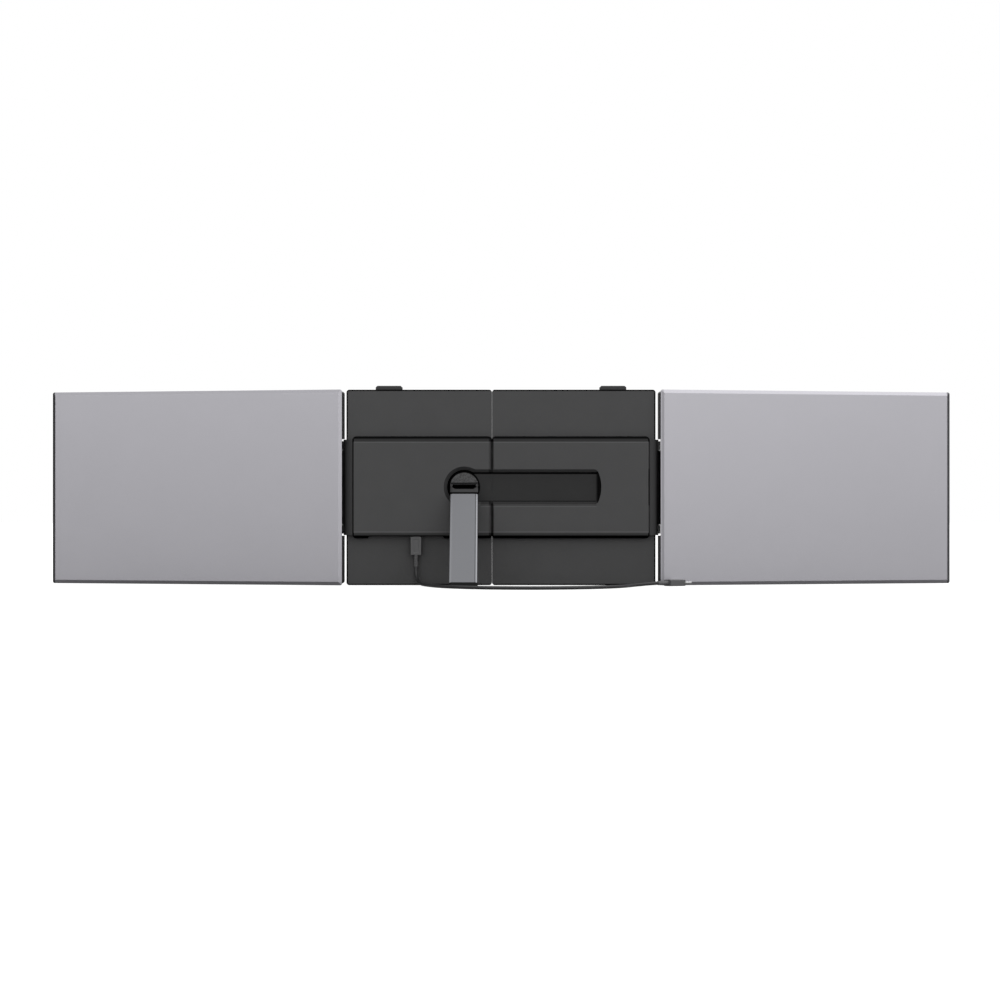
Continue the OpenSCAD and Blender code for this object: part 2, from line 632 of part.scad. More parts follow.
// the aluminium back, a tray with a bevel all round
module back_shell(side) color([0.62, 0.62, 0.65]) screen_at(side) difference() {
    x0 = screen_x0(side) + shell_in;
    x1 = screen_x0(side) + screen_w;
    union() {
        difference() {
            intersection() {
                along_y(screen_y, shell_y1) rounded(x0, x1, 0, frame_h, shell_r);
                along_x(x0, x1) polygon([
                    [shell_y1, 0], [screen_y + bevel_d, 0], [screen_y, bevel_w],
                    [screen_y, frame_h - bevel_w], [screen_y + bevel_d, frame_h],
                    [shell_y1, frame_h]]);
                along_z(0, frame_h) polygon([
                    [x0, shell_y1], [x0, screen_y + bevel_d], [x0 + bevel_w, screen_y],
                    [x1 - bevel_w, screen_y], [x1, screen_y + bevel_d], [x1, shell_y1]]);
            }
            intersection() {
                along_x(x0 + shell_wall, x1 - shell_wall) polygon([
                    [shell_y1 + cut, 1 + shell_wall], [screen_y + bevel_d + 0.4, 1 + shell_wall],
                    [screen_y + shell_wall, bevel_w + 1],
                    [screen_y + shell_wall, frame_h - bevel_w - 1],
                    [screen_y + bevel_d + 0.4, frame_h - 1 - shell_wall],
                    [shell_y1 + cut, frame_h - 1 - shell_wall]]);
                along_z(0, frame_h) polygon([
                    [x0 + shell_wall, shell_y1 + cut], [x0 + shell_wall, screen_y + bevel_d + 0.4],
                    [x0 + bevel_w + 1, screen_y + shell_wall],
                    [x1 - bevel_w - 1, screen_y + shell_wall],
                    [x1 - shell_wall, screen_y + bevel_d + 0.4], [x1 - shell_wall, shell_y1 + cut]]);
            }
        }
        // bosses of the hinge's screws and posts of the screen's board
        for (z = leaf_screws()) translate([leaf_x1 - leaf_hole, screen_y + 0.4, z]) rotate([-90, 0, 0])
            cylinder(r = boss_r, h = leaf_y0 - screen_y - 0.4);
        for (p = board_posts(side)) translate([p[0], screen_y + 0.4, p[1]]) rotate([-90, 0, 0])
            cylinder(r = post_r, h = shell_wall + board_lift - 0.4);
    }
    for (z = leaf_screws()) translate([leaf_x1 - leaf_hole, screen_y + shell_wall, z]) rotate([-90, 0, 0])
        cylinder(r = screw_r + 0.02, h = 10);
}

function board_posts(side) = [for (k = [0.05, 0.95])
    [screen_x0(side) + board_in + k * board_w, board_z + board_h / 2]];

// the plastic frame: a rim behind the shell, with a ledge that the glass lies on
module screen_frame(side) color([0.05, 0.05, 0.05]) screen_at(side) difference() {
    x0 = screen_x0(side);
    x1 = screen_x0(side) + screen_w - inset_x;
    z0 = inset_z;
    z1 = frame_h - inset_z;
    w = rim_wall;
    union() {
        along_y(shell_y1, screen_y1) rounded(x0, x1, z0, z1, screen_r);
        // spigot inside the back shell's side
        along_y(shell_y1 - spigot, shell_y1) rounded(x0 + shell_in + shell_wall + spigot_gap,
            x1 + inset_x - shell_wall - spigot_gap, z0 + 0.8, z1 - 0.8, 1);
    }
    along_y(glass_y0, screen_y1 + cut) rounded(x0 + w, x1 - w, z0 + w, z1 - w, 1.5);
    along_y(shell_y1 - 1, glass_y0 + cut)
        rounded(x0 + w + ledge, x1 - w - ledge, z0 + w + ledge, z1 - w - ledge, 1);
    hinge_notch(side, shell_y1 - 1);
    // way through for the menu button
    translate([x1 - 8, button_y, button_z]) rotate([0, 90, 0])
        cylinder(r = button_r + fit, h = 10);
}

module front_glass(side) color([0.02, 0.02, 0.02]) screen_at(side) difference() {
    g = rim_wall + seam;
    gz = inset_z + g;
    along_y(glass_y0, screen_y1) rounded(screen_x0(side) + g,
        screen_x0(side) + screen_w - inset_x - g, gz, frame_h - gz, 1.5);
    hinge_notch(side, glass_y0 - 1);
}

module display(side) color([0.25, 0.25, 0.28]) screen_at(side) {
    x0 = screen_x0(side) + (screen_w - lcd_w) / 2;
    along_y(lcd_y0 + 0.6, glass_y0) rounded(x0, x0 + lcd_w, chin_h, chin_h + lcd_h, 0.5);
    // folded metal tray of the backlight
    along_y(lcd_y0, lcd_y0 + 0.6) rounded(x0 + 4, x0 + lcd_w - 4, chin_h + 4,
        chin_h + lcd_h - 4, 2);
}

module screen_board(side) color([0.05, 0.25, 0.12]) screen_at(side) {
    y0 = screen_y + shell_wall + board_lift;
    translate([screen_x0(side) + board_in, y0, board_z]) {
        cube([board_w, board_t, board_h]);
        for (k = [0.15, 0.35, 0.63]) translate([k * board_w, board_t, board_h * 0.15])
            cube([board_w * 0.12, chip_t, board_h * 0.66]);
    }
}

module menu_button(side) color([0.1, 0.1, 0.1]) screen_at(side)
    translate([screen_x0(side) + screen_w, button_y, button_z]) rotate([0, 90, 0]) {
        translate([0, 0, -button_l]) cylinder(r = button_r, h = button_l);
        translate([0, 0, -button_l - 1.2]) cylinder(r = button_r + 0.9, h = 1.2);
    }

// ---- kickstand -----------------------------------------------------------------------

// half a disc, the barrel of the leg's hinge and the stem that turns in the hub's floor
module swivel_head() color([0.22, 0.22, 0.22]) translate([stand_x, 0, 0]) difference() {
    union() {
        intersection() {
            translate([0, face_gap, stand_z]) rotate([-90, 0, 0])
                cylinder(r = head_r, h = pocket_d - stem_gap - face_gap, $fn = 96);
            translate([-20, 0, tilt_z + leg_out + 0.3]) cube([40, plate_y0, 30]);
        }
        translate([0, tilt_y, tilt_z]) rotate([0, 90, 0])
            cylinder(r = barrel_r, h = barrel_l, center = true);
        translate([-barrel_l / 2, tilt_y, tilt_z])
            cube([barrel_l, pocket_d - stem_gap - tilt_y, leg_out + 1]);
        translate([-barrel_l / 2, tilt_y + barrel_r / 2, tilt_z - 3])
            cube([barrel_l, pocket_d - stem_gap - tilt_y - barrel_r / 2, 4]);
        translate([0, pocket_d - stem_gap - 0.4, stand_z]) rotate([-90, 0, 0])
            cylinder(r = stem_r, h = floor_wall + 2 * stem_gap + 0.4);
    }
    translate([0, tilt_y, tilt_z]) rotate([0, 90, 0])
        cylinder(r = tilt_pin_r + fit, h = 40, center = true);
    // the stem's front is cut level with the pocket's floor below the hinge
    translate([-20, 0, 0]) cube([40, pocket_d, tilt_z - 3]);
}

// the washer behind the pocket's floor that keeps the swivel in
module swivel_washer() color("silver") translate([stand_x, 0, stand_z]) rotate([-90, 0, 0])
    translate([0, 0, pocket_d + floor_wall + stem_gap]) cylinder(r = washer_r, h = washer_t);

// the leg is drawn folded straight down, then tilted out about its hinge
module leg_at() translate([stand_x, tilt_y, tilt_z]) rotate([-tilt_rest, 0, 0]) children();

module leg_bar(s0, s1, w) translate([0, 0, -s1]) linear_extrude(s1 - s0) polygon([
    [-w / 2, leg_in], [-w / 2, 1 - leg_out], [leg_bevel - w / 2, -leg_out],
    [w / 2 - leg_bevel, -leg_out], [w / 2, 1 - leg_out], [w / 2, leg_in]]);

module stand_block() color([0.18, 0.18, 0.18]) leg_at() difference() {
    union() {
        rotate([0, 90, 0]) cylinder(r = leg_in, h = leg_w, center = true);
        translate([-leg_w / 2, -leg_out, -4]) cube([leg_w, leg_t, 4]);
        leg_bar(4, block_l, leg_w);
        // tongue inside the leg
        translate([-leg_w / 2 + 5, -leg_t / 2 + leg_in - 1.3, -block_l - 14])
            cube([leg_w - 10, leg_t / 2, 14]);
    }
    // window that takes the barrel, with sloping lower corners
    along_y(-leg_t, leg_t) polygon([
        [-barrel_l / 2 - 0.2, 6], [-barrel_l / 2 - 0.2, -window_l + 2.4],
        [-barrel_l / 2 + 2.6, -window_l], [barrel_l / 2 - 2.6, -window_l],
        [barrel_l / 2 + 0.2, -window_l + 2.4], [barrel_l / 2 + 0.2, 6]]);
    rotate([0, 90, 0]) cylinder(r = tilt_pin_r + 0.02, h = 40, center = true);
}

module stand_hinge_pin() color("silver") leg_at() rotate([0, 90, 0])
    cylinder(r = tilt_pin_r, h = leg_w - 0.4, center = true);

module stand_leg() color([0.58, 0.58, 0.6]) leg_at() difference() {
    leg_bar(block_l, leg_l - foot_l, leg_w);
    translate([-leg_w / 2 + 5 - fit, -leg_t / 2 + leg_in - 1.3 - fit, -block_l - 14 - fit])
        cube([leg_w - 10 + 2 * fit, leg_t / 2 + 2 * fit, 14 + cut]);
    translate([-leg_w / 2 + 5 - fit, -leg_t / 2 + leg_in - 1.3 - fit, -leg_l + foot_l - cut])
        cube([leg_w - 10 + 2 * fit, leg_t / 2 + 2 * fit, 8 + cut + fit]);
}

module stand_foot() color([0.06, 0.06, 0.06]) leg_at() {
    difference() {
        leg_bar(leg_l - foot_l, leg_l + leg_t, leg_w + 0.6);
        // the end is cut to lie flat on the desk
        translate([0, 0, -leg_l]) rotate([tilt_rest, 0, 0]) translate([-30, -30, -20])
            cube([60, 60, 20]);
    }
    translate([-leg_w / 2 + 5, -leg_t / 2 + leg_in - 1.3, -leg_l + foot_l])
        cube([leg_w - 10, leg_t / 2, 8]);
}

// ---- lead ----------------------------------------------------------------------------

// a plug drawn pointing up, its moulded body's mouth at the origin
module plug_body() color([0.16, 0.16, 0.16]) difference() {
    translate([0, 0, -plug_l]) linear_extrude(plug_l) {
        square([plug_w, plug_t - 3], center = true);
        square([plug_w - 3, plug_t], center = true);
        for (x = [-1, 1], y = [-1, 1])
            translate([x * (plug_w - 3) / 2, y * (plug_t - 3) / 2]) circle(1.5);
    }
    translate([0, 0, -2]) linear_extrude(4) pill(tip_w, tip_t);
}

module plug_tip() color("silver") difference() {
    translate([0, 0, -2]) linear_extrude(tip_l + 4.3) pill(tip_w, tip_t);
    translate([0, 0, -1]) linear_extrude(tip_l + 5) pill(tip_w - 0.7, tip_t - 0.7);
}

module relief() color([0.14, 0.14, 0.14]) translate([0, 0, -relief_l]) rotate_extrude()
    polygon([[0, 0], [lead_r + 0.25, 0], [relief_r - 0.2, relief_l * 0.6],
        [relief_r, relief_l], [0, relief_l]]);

module lead_plug() translate([plug_x, socket_y, plug_z1]) plug_body();
module lead_plug_tip() translate([plug_x, socket_y, plug_z1]) plug_tip();
module lead_relief() translate([plug_x, socket_y, plug_z0]) relief();

module at_end() translate(lead_route[len(lead_route) - 1]) rotate([0, 0, end_turn])
    rotate([0, 90, 0]) translate([0, 0, relief_l]) rotate([0, 0, 90]) children();
module end_relief() at_end() relief();
module end_plug() at_end() translate([0, 0, plug_l]) plug_body();
module end_plug_tip() at_end() translate([0, 0, plug_l]) plug_tip();

function unit(v) = v / norm(v);
function heading(p, i) = let (n = len(p) - 1)
    i == 0 ? [0, 0, -1] : i == n ? unit(end_dir) : unit(p[i + 1] - p[i - 1]);
// a smooth curve through the route, with two stretches to each step
function mid_point(p, i) = let (n = len(p) - 1, a = p[max(i - 1, 0)], b = p[i], c = p[i + 1],
    d = p[min(i + 2, n)]) (9 * (b + c) - a - d) / 16;
function smooth(p) = [for (k = [0 : 2 * len(p) - 2]) k % 2 == 0 ? p[k / 2]
    : mid_point(p, (k - 1) / 2)];

module lead() color([0.15, 0.15, 0.15]) {
    p = smooth(lead_route);
    n = len(p);
    m = lead_sides;
    rings = [for (i = [0 : n - 1]) let (t = heading(p, i),
        u = unit(cross(t, abs(t[2]) > 0.9 ? [1, 0, 0] : [0, 0, 1])), v = cross(t, u))
        for (k = [0 : m - 1]) let (a = 360 * k / m + (abs(t[2]) > 0.9 ? 90 : 0))
            p[i] + lead_r * (cos(a) * u + sin(a) * v)];
    polyhedron(points = rings, faces = concat(
        [[for (k = [0 : m - 1]) k]], [[for (k = [m - 1 : -1 : 0]) (n - 1) * m + k]],
        [for (i = [0 : n - 2], k = [0 : m - 1]) let (q = (k + 1) % m)
            [i * m + k, (i + 1) * m + k, (i + 1) * m + q, i * m + q]]));
}

// ---- nodes ---------------------------------------------------------------------------

plate(LEFT);  // left_plate
hub_cover(LEFT);  // left_hub_cover
hinge_cover(LEFT);  // left_hinge_cover
hinge_bracket(LEFT);  // left_hinge_bracket
hinge_pin(LEFT);  // left_hinge_pin
lid_hook(LEFT);  // left_lid_hook
hook_pad(LEFT);  // left_hook_pad
lid_pads(LEFT);  // left_lid_pads
hub_screws(LEFT);  // left_hub_screws
driver_board();
usb_sockets();
slide_rails();
plate(RIGHT);  // right_plate
hub_cover(RIGHT);  // right_hub_cover
hinge_cover(RIGHT);  // right_hinge_cover
hinge_bracket(RIGHT);  // right_hinge_bracket
hinge_pin(RIGHT);  // right_hinge_pin
lid_hook(RIGHT);  // right_lid_hook
hook_pad(RIGHT);  // right_hook_pad
lid_pads(RIGHT);  // right_lid_pads
hub_screws(RIGHT);  // right_hub_screws
rail_guides();
back_shell(LEFT);  // left_back_shell
screen_frame(LEFT);  // left_screen_frame
front_glass(LEFT);  // left_front_glass
display(LEFT);  // left_display
screen_hinge(LEFT);  // left_screen_hinge
screen_board(LEFT);  // left_screen_board
menu_button(LEFT);  // left_menu_button
hinge_screws(LEFT);  // left_hinge_screws
back_shell(RIGHT);  // right_back_shell
screen_frame(RIGHT);  // right_screen_frame
front_glass(RIGHT);  // right_front_glass
display(RIGHT);  // right_display
screen_hinge(RIGHT);  // right_screen_hinge
screen_board(RIGHT);  // right_screen_board
menu_button(RIGHT);  // right_menu_button
hinge_screws(RIGHT);  // right_hinge_screws
swivel_head();
swivel_washer();
stand_hinge_pin();
stand_block();
stand_leg();
stand_foot();
lead_plug();
lead_plug_tip();
lead_relief();
lead();
end_relief();
end_plug();
end_plug_tip();
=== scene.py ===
import json
import math

import bmesh
import bpy
from mathutils import Matrix, Vector

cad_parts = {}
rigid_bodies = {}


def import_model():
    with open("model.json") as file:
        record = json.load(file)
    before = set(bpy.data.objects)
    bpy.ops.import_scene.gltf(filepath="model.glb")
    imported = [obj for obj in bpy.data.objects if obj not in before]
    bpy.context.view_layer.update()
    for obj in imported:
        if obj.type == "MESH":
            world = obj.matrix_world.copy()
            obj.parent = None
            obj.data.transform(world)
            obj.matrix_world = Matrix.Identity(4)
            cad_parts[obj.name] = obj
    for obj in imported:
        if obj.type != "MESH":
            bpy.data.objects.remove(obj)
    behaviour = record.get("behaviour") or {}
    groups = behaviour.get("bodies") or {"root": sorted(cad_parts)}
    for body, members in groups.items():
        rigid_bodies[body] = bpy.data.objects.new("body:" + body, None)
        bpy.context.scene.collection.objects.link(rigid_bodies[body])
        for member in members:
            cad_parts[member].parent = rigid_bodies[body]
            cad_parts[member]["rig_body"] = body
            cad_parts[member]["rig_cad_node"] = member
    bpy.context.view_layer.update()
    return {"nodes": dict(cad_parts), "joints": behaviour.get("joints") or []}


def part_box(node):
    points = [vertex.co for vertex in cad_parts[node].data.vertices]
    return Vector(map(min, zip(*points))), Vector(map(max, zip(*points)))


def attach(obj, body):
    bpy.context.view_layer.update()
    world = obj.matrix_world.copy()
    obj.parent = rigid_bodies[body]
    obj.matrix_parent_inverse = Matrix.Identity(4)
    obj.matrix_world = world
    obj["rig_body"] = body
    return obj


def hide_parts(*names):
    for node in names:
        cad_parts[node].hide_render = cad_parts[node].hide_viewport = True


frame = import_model()
nodes = frame["nodes"]

# The camera stands level, a long way behind the extender, a little below half the height
# of the screens, so that both turned screens are seen almost square on.
CAMERA_X, CAMERA_HEIGHT, CAMERA_DISTANCE = -0.00103, 0.088, 2.931
LENS_MM, CLIP_END = 102.1, 20.0
PLATE_REAR = 0.0095
camera_data = bpy.data.cameras.new("camera")
camera_data.lens = LENS_MM
camera_data.clip_end = CLIP_END
camera = bpy.data.objects.new("camera", camera_data)
bpy.context.scene.collection.objects.link(camera)
camera.location = (CAMERA_X, PLATE_REAR - CAMERA_DISTANCE, CAMERA_HEIGHT)
camera.rotation_euler = (math.radians(90), 0, 0)
bpy.context.scene.camera = camera
bpy.context.scene.view_settings.view_transform = "Standard"


# The studio: broad soft lights behind the camera and, for the screens' side, facing it, in a
# dim surround that leaves the ends dark.
class Sock:
    """A socket of a shader, with the arithmetic that the finishes below are written in."""

    tree = None

    def __init__(self, socket):
        self.socket = socket

    @classmethod
    def node(cls, kind, settings=None, out=0, **values):
        """A new node with its settings and its sockets' values: i3 is its fourth socket."""
        made = cls.tree.nodes.new(kind)
        for name, value in (settings or {}).items():
            setattr(made, name, value)
        for name, value in values.items():
            key = int(name[1:]) if name[1:].isdigit() else name.replace("_", " ")
            cls.join(made.inputs[key], value)
        return cls(made.outputs[out]) if made.outputs else None

    @classmethod
    def join(cls, entry, value):
        """Gives a node's or a shader's socket a value or a link."""
        if isinstance(value, Sock):
            cls.tree.links.new(value.socket, entry)
        else:
            entry.default_value = value

    def maths(self, operation, *others):
        values = {f"i{k}": v for k, v in enumerate((self,) + others)}
        return Sock.node("ShaderNodeMath", {"operation": operation}, **values)

    def __add__(self, other):
        return self.maths("ADD", other)

    __radd__ = __add__

    def __mul__(self, other):
        return self.maths("MULTIPLY", other)

    __rmul__ = __mul__

    def __sub__(self, other):
        return self.maths("SUBTRACT", other)

    def __rsub__(self, other):
        return (self * -1.0).maths("ADD", other)

    def between(self, low, high):
        """0 at low, 1 at high, and smooth in between; low may be the larger of the two."""
        return Sock.node(
            "ShaderNodeMapRange", {"interpolation_type": "SMOOTHSTEP"},
            i0=self, i1=low, i2=high, i3=0.0, i4=1.0,
        )

    def blend(self, dark, light):
        """The colour dark where this is 0 and light where it is 1."""
        return Sock.node(
            "ShaderNodeMix", {"data_type": "RGBA"}, out=2,
            i0=self, i6=(*dark, 1) if isinstance(dark, tuple) else dark,
            i7=(*light, 1) if isinstance(light, tuple) else light,
        )


def ray_kinds():
    """Three masks: of rays that come from the camera, from gloss and through glass."""
    return [Sock.node("ShaderNodeLightPath", out=k) for k in (0, 3, 6)]


# Each light: degrees to the right of the camera's line, degrees up, reach, core, strength.
LIGHTS = [
    (12, 5, 28, 6, 1.43), (-34, 12, 32, 12, 1.24), (53, 14, 34, 10, 1.24),
    (38, 52, 40, 10, 0.78), (-10, 66, 60, 12, 0.78), (102, 48, 36, 8, 1.5),
    (-98, 52, 34, 8, 0.8), (80, -4, 20, 6, 0.45), (175, 25, 80, 20, 1.1),
]
SURROUND = 0.02
WHITE_IN_GLOSS = 0.06
world = bpy.data.worlds.new("studio")
bpy.context.scene.world = world
world.use_nodes = True
Sock.tree = world.node_tree
Sock.tree.nodes.clear()
heading = Sock.node("ShaderNodeTexCoord", out=0)
soft_light = SURROUND
for aside, up, reach, core, strength in LIGHTS:
    aside, up = math.radians(aside), math.radians(up)
    aim = (math.sin(aside) * math.cos(up), -math.cos(aside) * math.cos(up), math.sin(up))
    towards = Sock.node(
        "ShaderNodeVectorMath", {"operation": "DOT_PRODUCT"}, out=1, i0=heading, i1=aim
    )
    glow = towards.between(math.cos(math.radians(reach)), math.cos(math.radians(core)))
    soft_light = glow * strength + soft_light
seen, glossy, through = ray_kinds()
white = seen + WHITE_IN_GLOSS * (glossy + through)
surround = Sock.node(
    "ShaderNodeBackground", Color=(1, 1, 1, 1), Strength=soft_light * (1 - white) + white
)
Sock.node("ShaderNodeOutputWorld", Surface=surround)


# The floor: a sheet of matt paper that keeps the extender's shadow. The camera sees it white,
# and so do gloss and glass on the user's side of the extender.
def where():
    """The place on the object."""
    return Sock.node("ShaderNodeTexCoord", out=3)


def along(axis, spot=None):
    """One coordinate of the place on the object, 0 for X, 1 for Y and 2 for Z."""
    return Sock.node("ShaderNodeSeparateXYZ", out=axis, i0=spot or where())


FLOOR_HALF, FLOOR_DROP = 8.0, 0.0002
FLOOR_PAPER = (0.33, 0.33, 0.33)
FLOOR_GLOW = 0.80
USERS_SIDE = (0.1, 1.1)
bpy.ops.object.select_all(action="DESELECT")
bpy.ops.mesh.primitive_plane_add(size=2 * FLOOR_HALF, location=(0, 0, -FLOOR_DROP))
floor = bpy.context.object
floor.name = "floor"
floor_finish = bpy.data.materials.new("floor")
floor_finish.use_nodes = True
Sock.tree = floor_finish.node_tree
Sock.tree.nodes.clear()
seen, glossy, through = ray_kinds()
white = seen + (glossy + through) * along(1).between(*USERS_SIDE)
paper = Sock.node("ShaderNodeBsdfDiffuse", Color=(*FLOOR_PAPER, 1))
glow = Sock.node("ShaderNodeEmission", Color=(1, 1, 1, 1), Strength=white * FLOOR_GLOW)
Sock.node("ShaderNodeOutputMaterial", Surface=Sock.node("ShaderNodeAddShader", i0=paper, i1=glow))
floor.data.materials.append(floor_finish)


# The lead: a black rubber-jacketed cable of 3.6 mm with a moulded plug on each end. It drops
# out of the hub, turns onto the desk and runs in a wide loop past the kickstand.
def finish(name, base, rough, metal=0.0, coat=0.0, coat_rough=0.1):
    """A new material, with its fixed values set on its shader. Returns both."""
    made = bpy.data.materials.new(name)
    made.use_nodes = True
    Sock.tree = made.node_tree
    shader = made.node_tree.nodes["Principled BSDF"]
    shader.inputs["Base Color"].default_value = (*base, 1)
    shader.inputs["Roughness"].default_value = rough
    shader.inputs["Metallic"].default_value = metal
    shader.inputs["Coat Weight"].default_value = coat
    shader.inputs["Coat Roughness"].default_value = coat_rough
    return made, shader


def grain(scale, detail, rough=0.5, spot=None):
    """Grain with features of about one scale-th of a metre."""
    return Sock.node(
        "ShaderNodeTexNoise", Vector=spot or where(), Scale=scale, Detail=detail,
        Roughness=rough,
    )


def relief(shader, height, depth, strength=0.6):
    """Bumps of a depth in metres on a shader's surface."""
    bump = Sock.node("ShaderNodeBump", Strength=strength, Distance=depth, Height=height)
    Sock.join(shader.inputs["Normal"], bump)


def tinted(tone, factor):
    return tuple(min(1.0, c * factor) for c in tone)


CLOUDS = 38.0
# How much lighter a painted highlight makes the tone, and how dark painted shade makes it.
PAINTED_HIGHLIGHT_GAIN, UNLIT = 1.9, 0.04


def plastic(name, tone, depth, scale, rough, painted_shade=None, painted_highlight=None, gloss=0.5, uneven=0.12):
    """Moulded plastic with a fine eroded texture, a little uneven in shade and in gloss.
    The shade mask paints shade by the object's place, from 0 where corners are painted dark and
    lose their gloss, to 1. The highlight mask is 1 where a bright line is painted along an edge."""
    made, shader = finish(name, tone, rough)
    shader.inputs["Specular IOR Level"].default_value = gloss
    cloud = grain(CLOUDS, 3.0)
    speck = grain(scale, 1.0, 0.6)
    shade = (cloud * 0.25 + speck * 0.75).between(0.25, 0.75)
    colour = shade.blend(tinted(tone, 1 - uneven), tinted(tone, 1 + uneven))
    # Painted highlight: a lighter tone where the highlight mask is 1.
    if painted_highlight:
        colour = painted_highlight().blend(colour, tinted(tone, PAINTED_HIGHLIGHT_GAIN))
    # Painted shade: a darker tone, and a dark metallic base where the mask is low, so the gloss
    # goes too.
    if painted_shade:
        mask = painted_shade()
        colour = mask.blend(tinted(tone, UNLIT), colour)
        Sock.join(shader.inputs["Metallic"], mask.between(0.5, 0.0))
    Sock.join(shader.inputs["Base Color"], colour)
    Sock.join(shader.inputs["Roughness"], rough + 0.12 * (speck - 0.5))
    relief(shader, speck, depth)
    return made


PLUG_X, SOCKET_Y = -0.0877, 0.0047
LEAD_R = 0.0018
# The route from the relief, in millimetres from the socket's X, as the solid's is.
lead_points = [
    (0, 3.9, 14), (1, 0, 8.4), (3.2, -7, 4), (6.2, -17, 2.2), (9.7, -30, 1.8),
    (13.7, -47, 1.8), (18.7, -65, 1.8), (25.7, -84, 1.8), (34.7, -101, 1.8),
    (47.7, -117, 1.8), (63.7, -130, 1.8), (82.7, -139, 1.8), (103.7, -144, 1.8),
    (125.7, -144, 1.8), (147.7, -139, 1.8), (167.7, -130, 1.8), (185.7, -117, 1.8),
    (199.7, -101, 1.8), (209.7, -84, 1.8), (215.7, -68, 1.8), (221.7, -53, 1.9),
    (229.7, -41, 2.2), (239.7, -32, 2.8), (247.7, -27, 3.2),
]
relief_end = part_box("lead_relief")[0].z
route = [Vector((PLUG_X, SOCKET_Y, relief_end))]
route += [Vector((PLUG_X + x / 1000, y / 1000, z / 1000)) for x, y, z in lead_points]


def between_points(points):
    """The same smooth curve as the solid's: a point halfway between each two, off the chord."""
    line = []
    last = len(points) - 1
    for i, point in enumerate(points[:-1]):
        before, after = points[max(i - 1, 0)], points[min(i + 2, last)]
        line += [point, (9 * (point + points[i + 1]) - before - after) / 16]
    return line + [points[-1]]


line = between_points(route)
spline_data = bpy.data.curves.new("lead_jacket", "CURVE")
spline_data.dimensions = "3D"
spline = spline_data.splines.new("POLY")
spline.points.add(len(line) - 1)
for point, spot in zip(spline.points, line):
    point.co = (*spot, 1)
spline.use_smooth = True
spline_data.bevel_depth = LEAD_R
spline_data.bevel_resolution = 4
spline_data.use_fill_caps = True
lead = bpy.data.objects.new("lead_jacket", spline_data)
bpy.context.scene.collection.objects.link(lead)
spline_data.materials.append(
    plastic("lead_rubber", (0.019, 0.019, 0.020), 0.00001, 4000.0, 0.42))
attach(lead, "left_frame")
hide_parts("lead")


# The plugs: a soft-touch body moulded over the metal shell, with a shallow grip on its broad faces
# and a ribbed, tapering strain relief. The shell in the hub gets a dark copy of the steel as
# painted shade.
def drawn(stretch):
    """The place on the object, stretched along an axis, for marks that run along it."""
    return Sock.node("ShaderNodeMapping", Vector=where(), Scale=stretch)


STAINS, STAINED = 120.0, 0.75


def steel(name, tone, rough, stretch=(40, 2600, 2600)):
    """Drawn or ground steel: fine lines along the way it was worked, and a faint stain."""
    made, shader = finish(name, tone, rough, metal=1.0)
    lines = grain(1.0, 2.0, 0.6, drawn(stretch))
    stain = grain(STAINS, 3.0)
    shade = (lines * 0.6 + stain * 0.4).between(0.3, 0.7)
    Sock.join(shader.inputs["Base Color"], shade.blend(tinted(tone, STAINED), tone))
    Sock.join(shader.inputs["Roughness"], rough + 0.2 * (lines - 0.5))
    relief(shader, lines, 0.00001, 0.4)
    return made


def dress(made, *names):
    """Gives CAD nodes a material in place of the plain one that they came with."""
    for name in names:
        nodes[name].data.materials.clear()
        nodes[name].data.materials.append(made)


def fresh(kind, name, place, stretch=(1, 1, 1), **how):
    """A primitive at its size and place, ready to be shaped in edit mode."""
    bpy.ops.object.select_all(action="DESELECT")
    getattr(bpy.ops.mesh, f"primitive_{kind}_add")(location=place, scale=stretch, **how)
    piece = bpy.context.object
    piece.name = piece.data.name = name
    bpy.ops.object.transform_apply(location=True, rotation=True, scale=True)
    return piece


def block(name, low, high):
    """A cube primitive between two corners."""
    low, high = Vector(low), Vector(high)
    return fresh("cube", name, (low + high) / 2, high - low, size=1)


def pick(piece, kind, test):
    """Selects in edit mode the faces, edges or verts whose middle and direction pass a test.
    An edge's direction is its own, and that of a face or a vert is its normal."""
    bpy.context.view_layer.objects.active = piece
    if piece.mode != "EDIT":
        bpy.ops.object.mode_set(mode="EDIT")
    bpy.ops.mesh.select_mode(type={"faces": "FACE", "edges": "EDGE", "verts": "VERT"}[kind])
    bpy.ops.mesh.select_all(action="DESELECT")
    mesh = bmesh.from_edit_mesh(piece.data)
    mesh.normal_update()
    for item in getattr(mesh, kind):
        corners = [item] if kind == "verts" else list(item.verts)
        middle = sum((c.co for c in corners), Vector()) / len(corners)
        if kind == "edges":
            way = (corners[1].co - corners[0].co).normalized()
        else:
            way = item.normal
        if test(middle, way):
            item.select_set(True)
    bmesh.update_edit_mesh(piece.data)


TURNED_SIDES = 32


def turned(name, steps):
    """A turned piece that stands on Z: each step is a radius and a height."""
    radius, height = steps[0]
    piece = fresh("circle", name, (0, 0, height), vertices=TURNED_SIDES, radius=radius,
                  fill_type="NGON")
    bpy.ops.object.mode_set(mode="EDIT")
    bpy.ops.mesh.select_all(action="SELECT")
    for next_radius, next_height in steps[1:]:
        bpy.ops.mesh.extrude_region_move(
            TRANSFORM_OT_translate={"value": (0, 0, next_height - height)})
        ratio = next_radius / radius
        bpy.ops.transform.resize(value=(ratio, ratio, 1), center_override=(0, 0, 0))
        radius, height = next_radius, next_height
    bpy.ops.mesh.select_all(action="SELECT")
    bpy.ops.mesh.normals_make_consistent(inside=False)
    bpy.ops.object.mode_set(mode="OBJECT")
    return piece


SMOOTH_DEGREES = 38


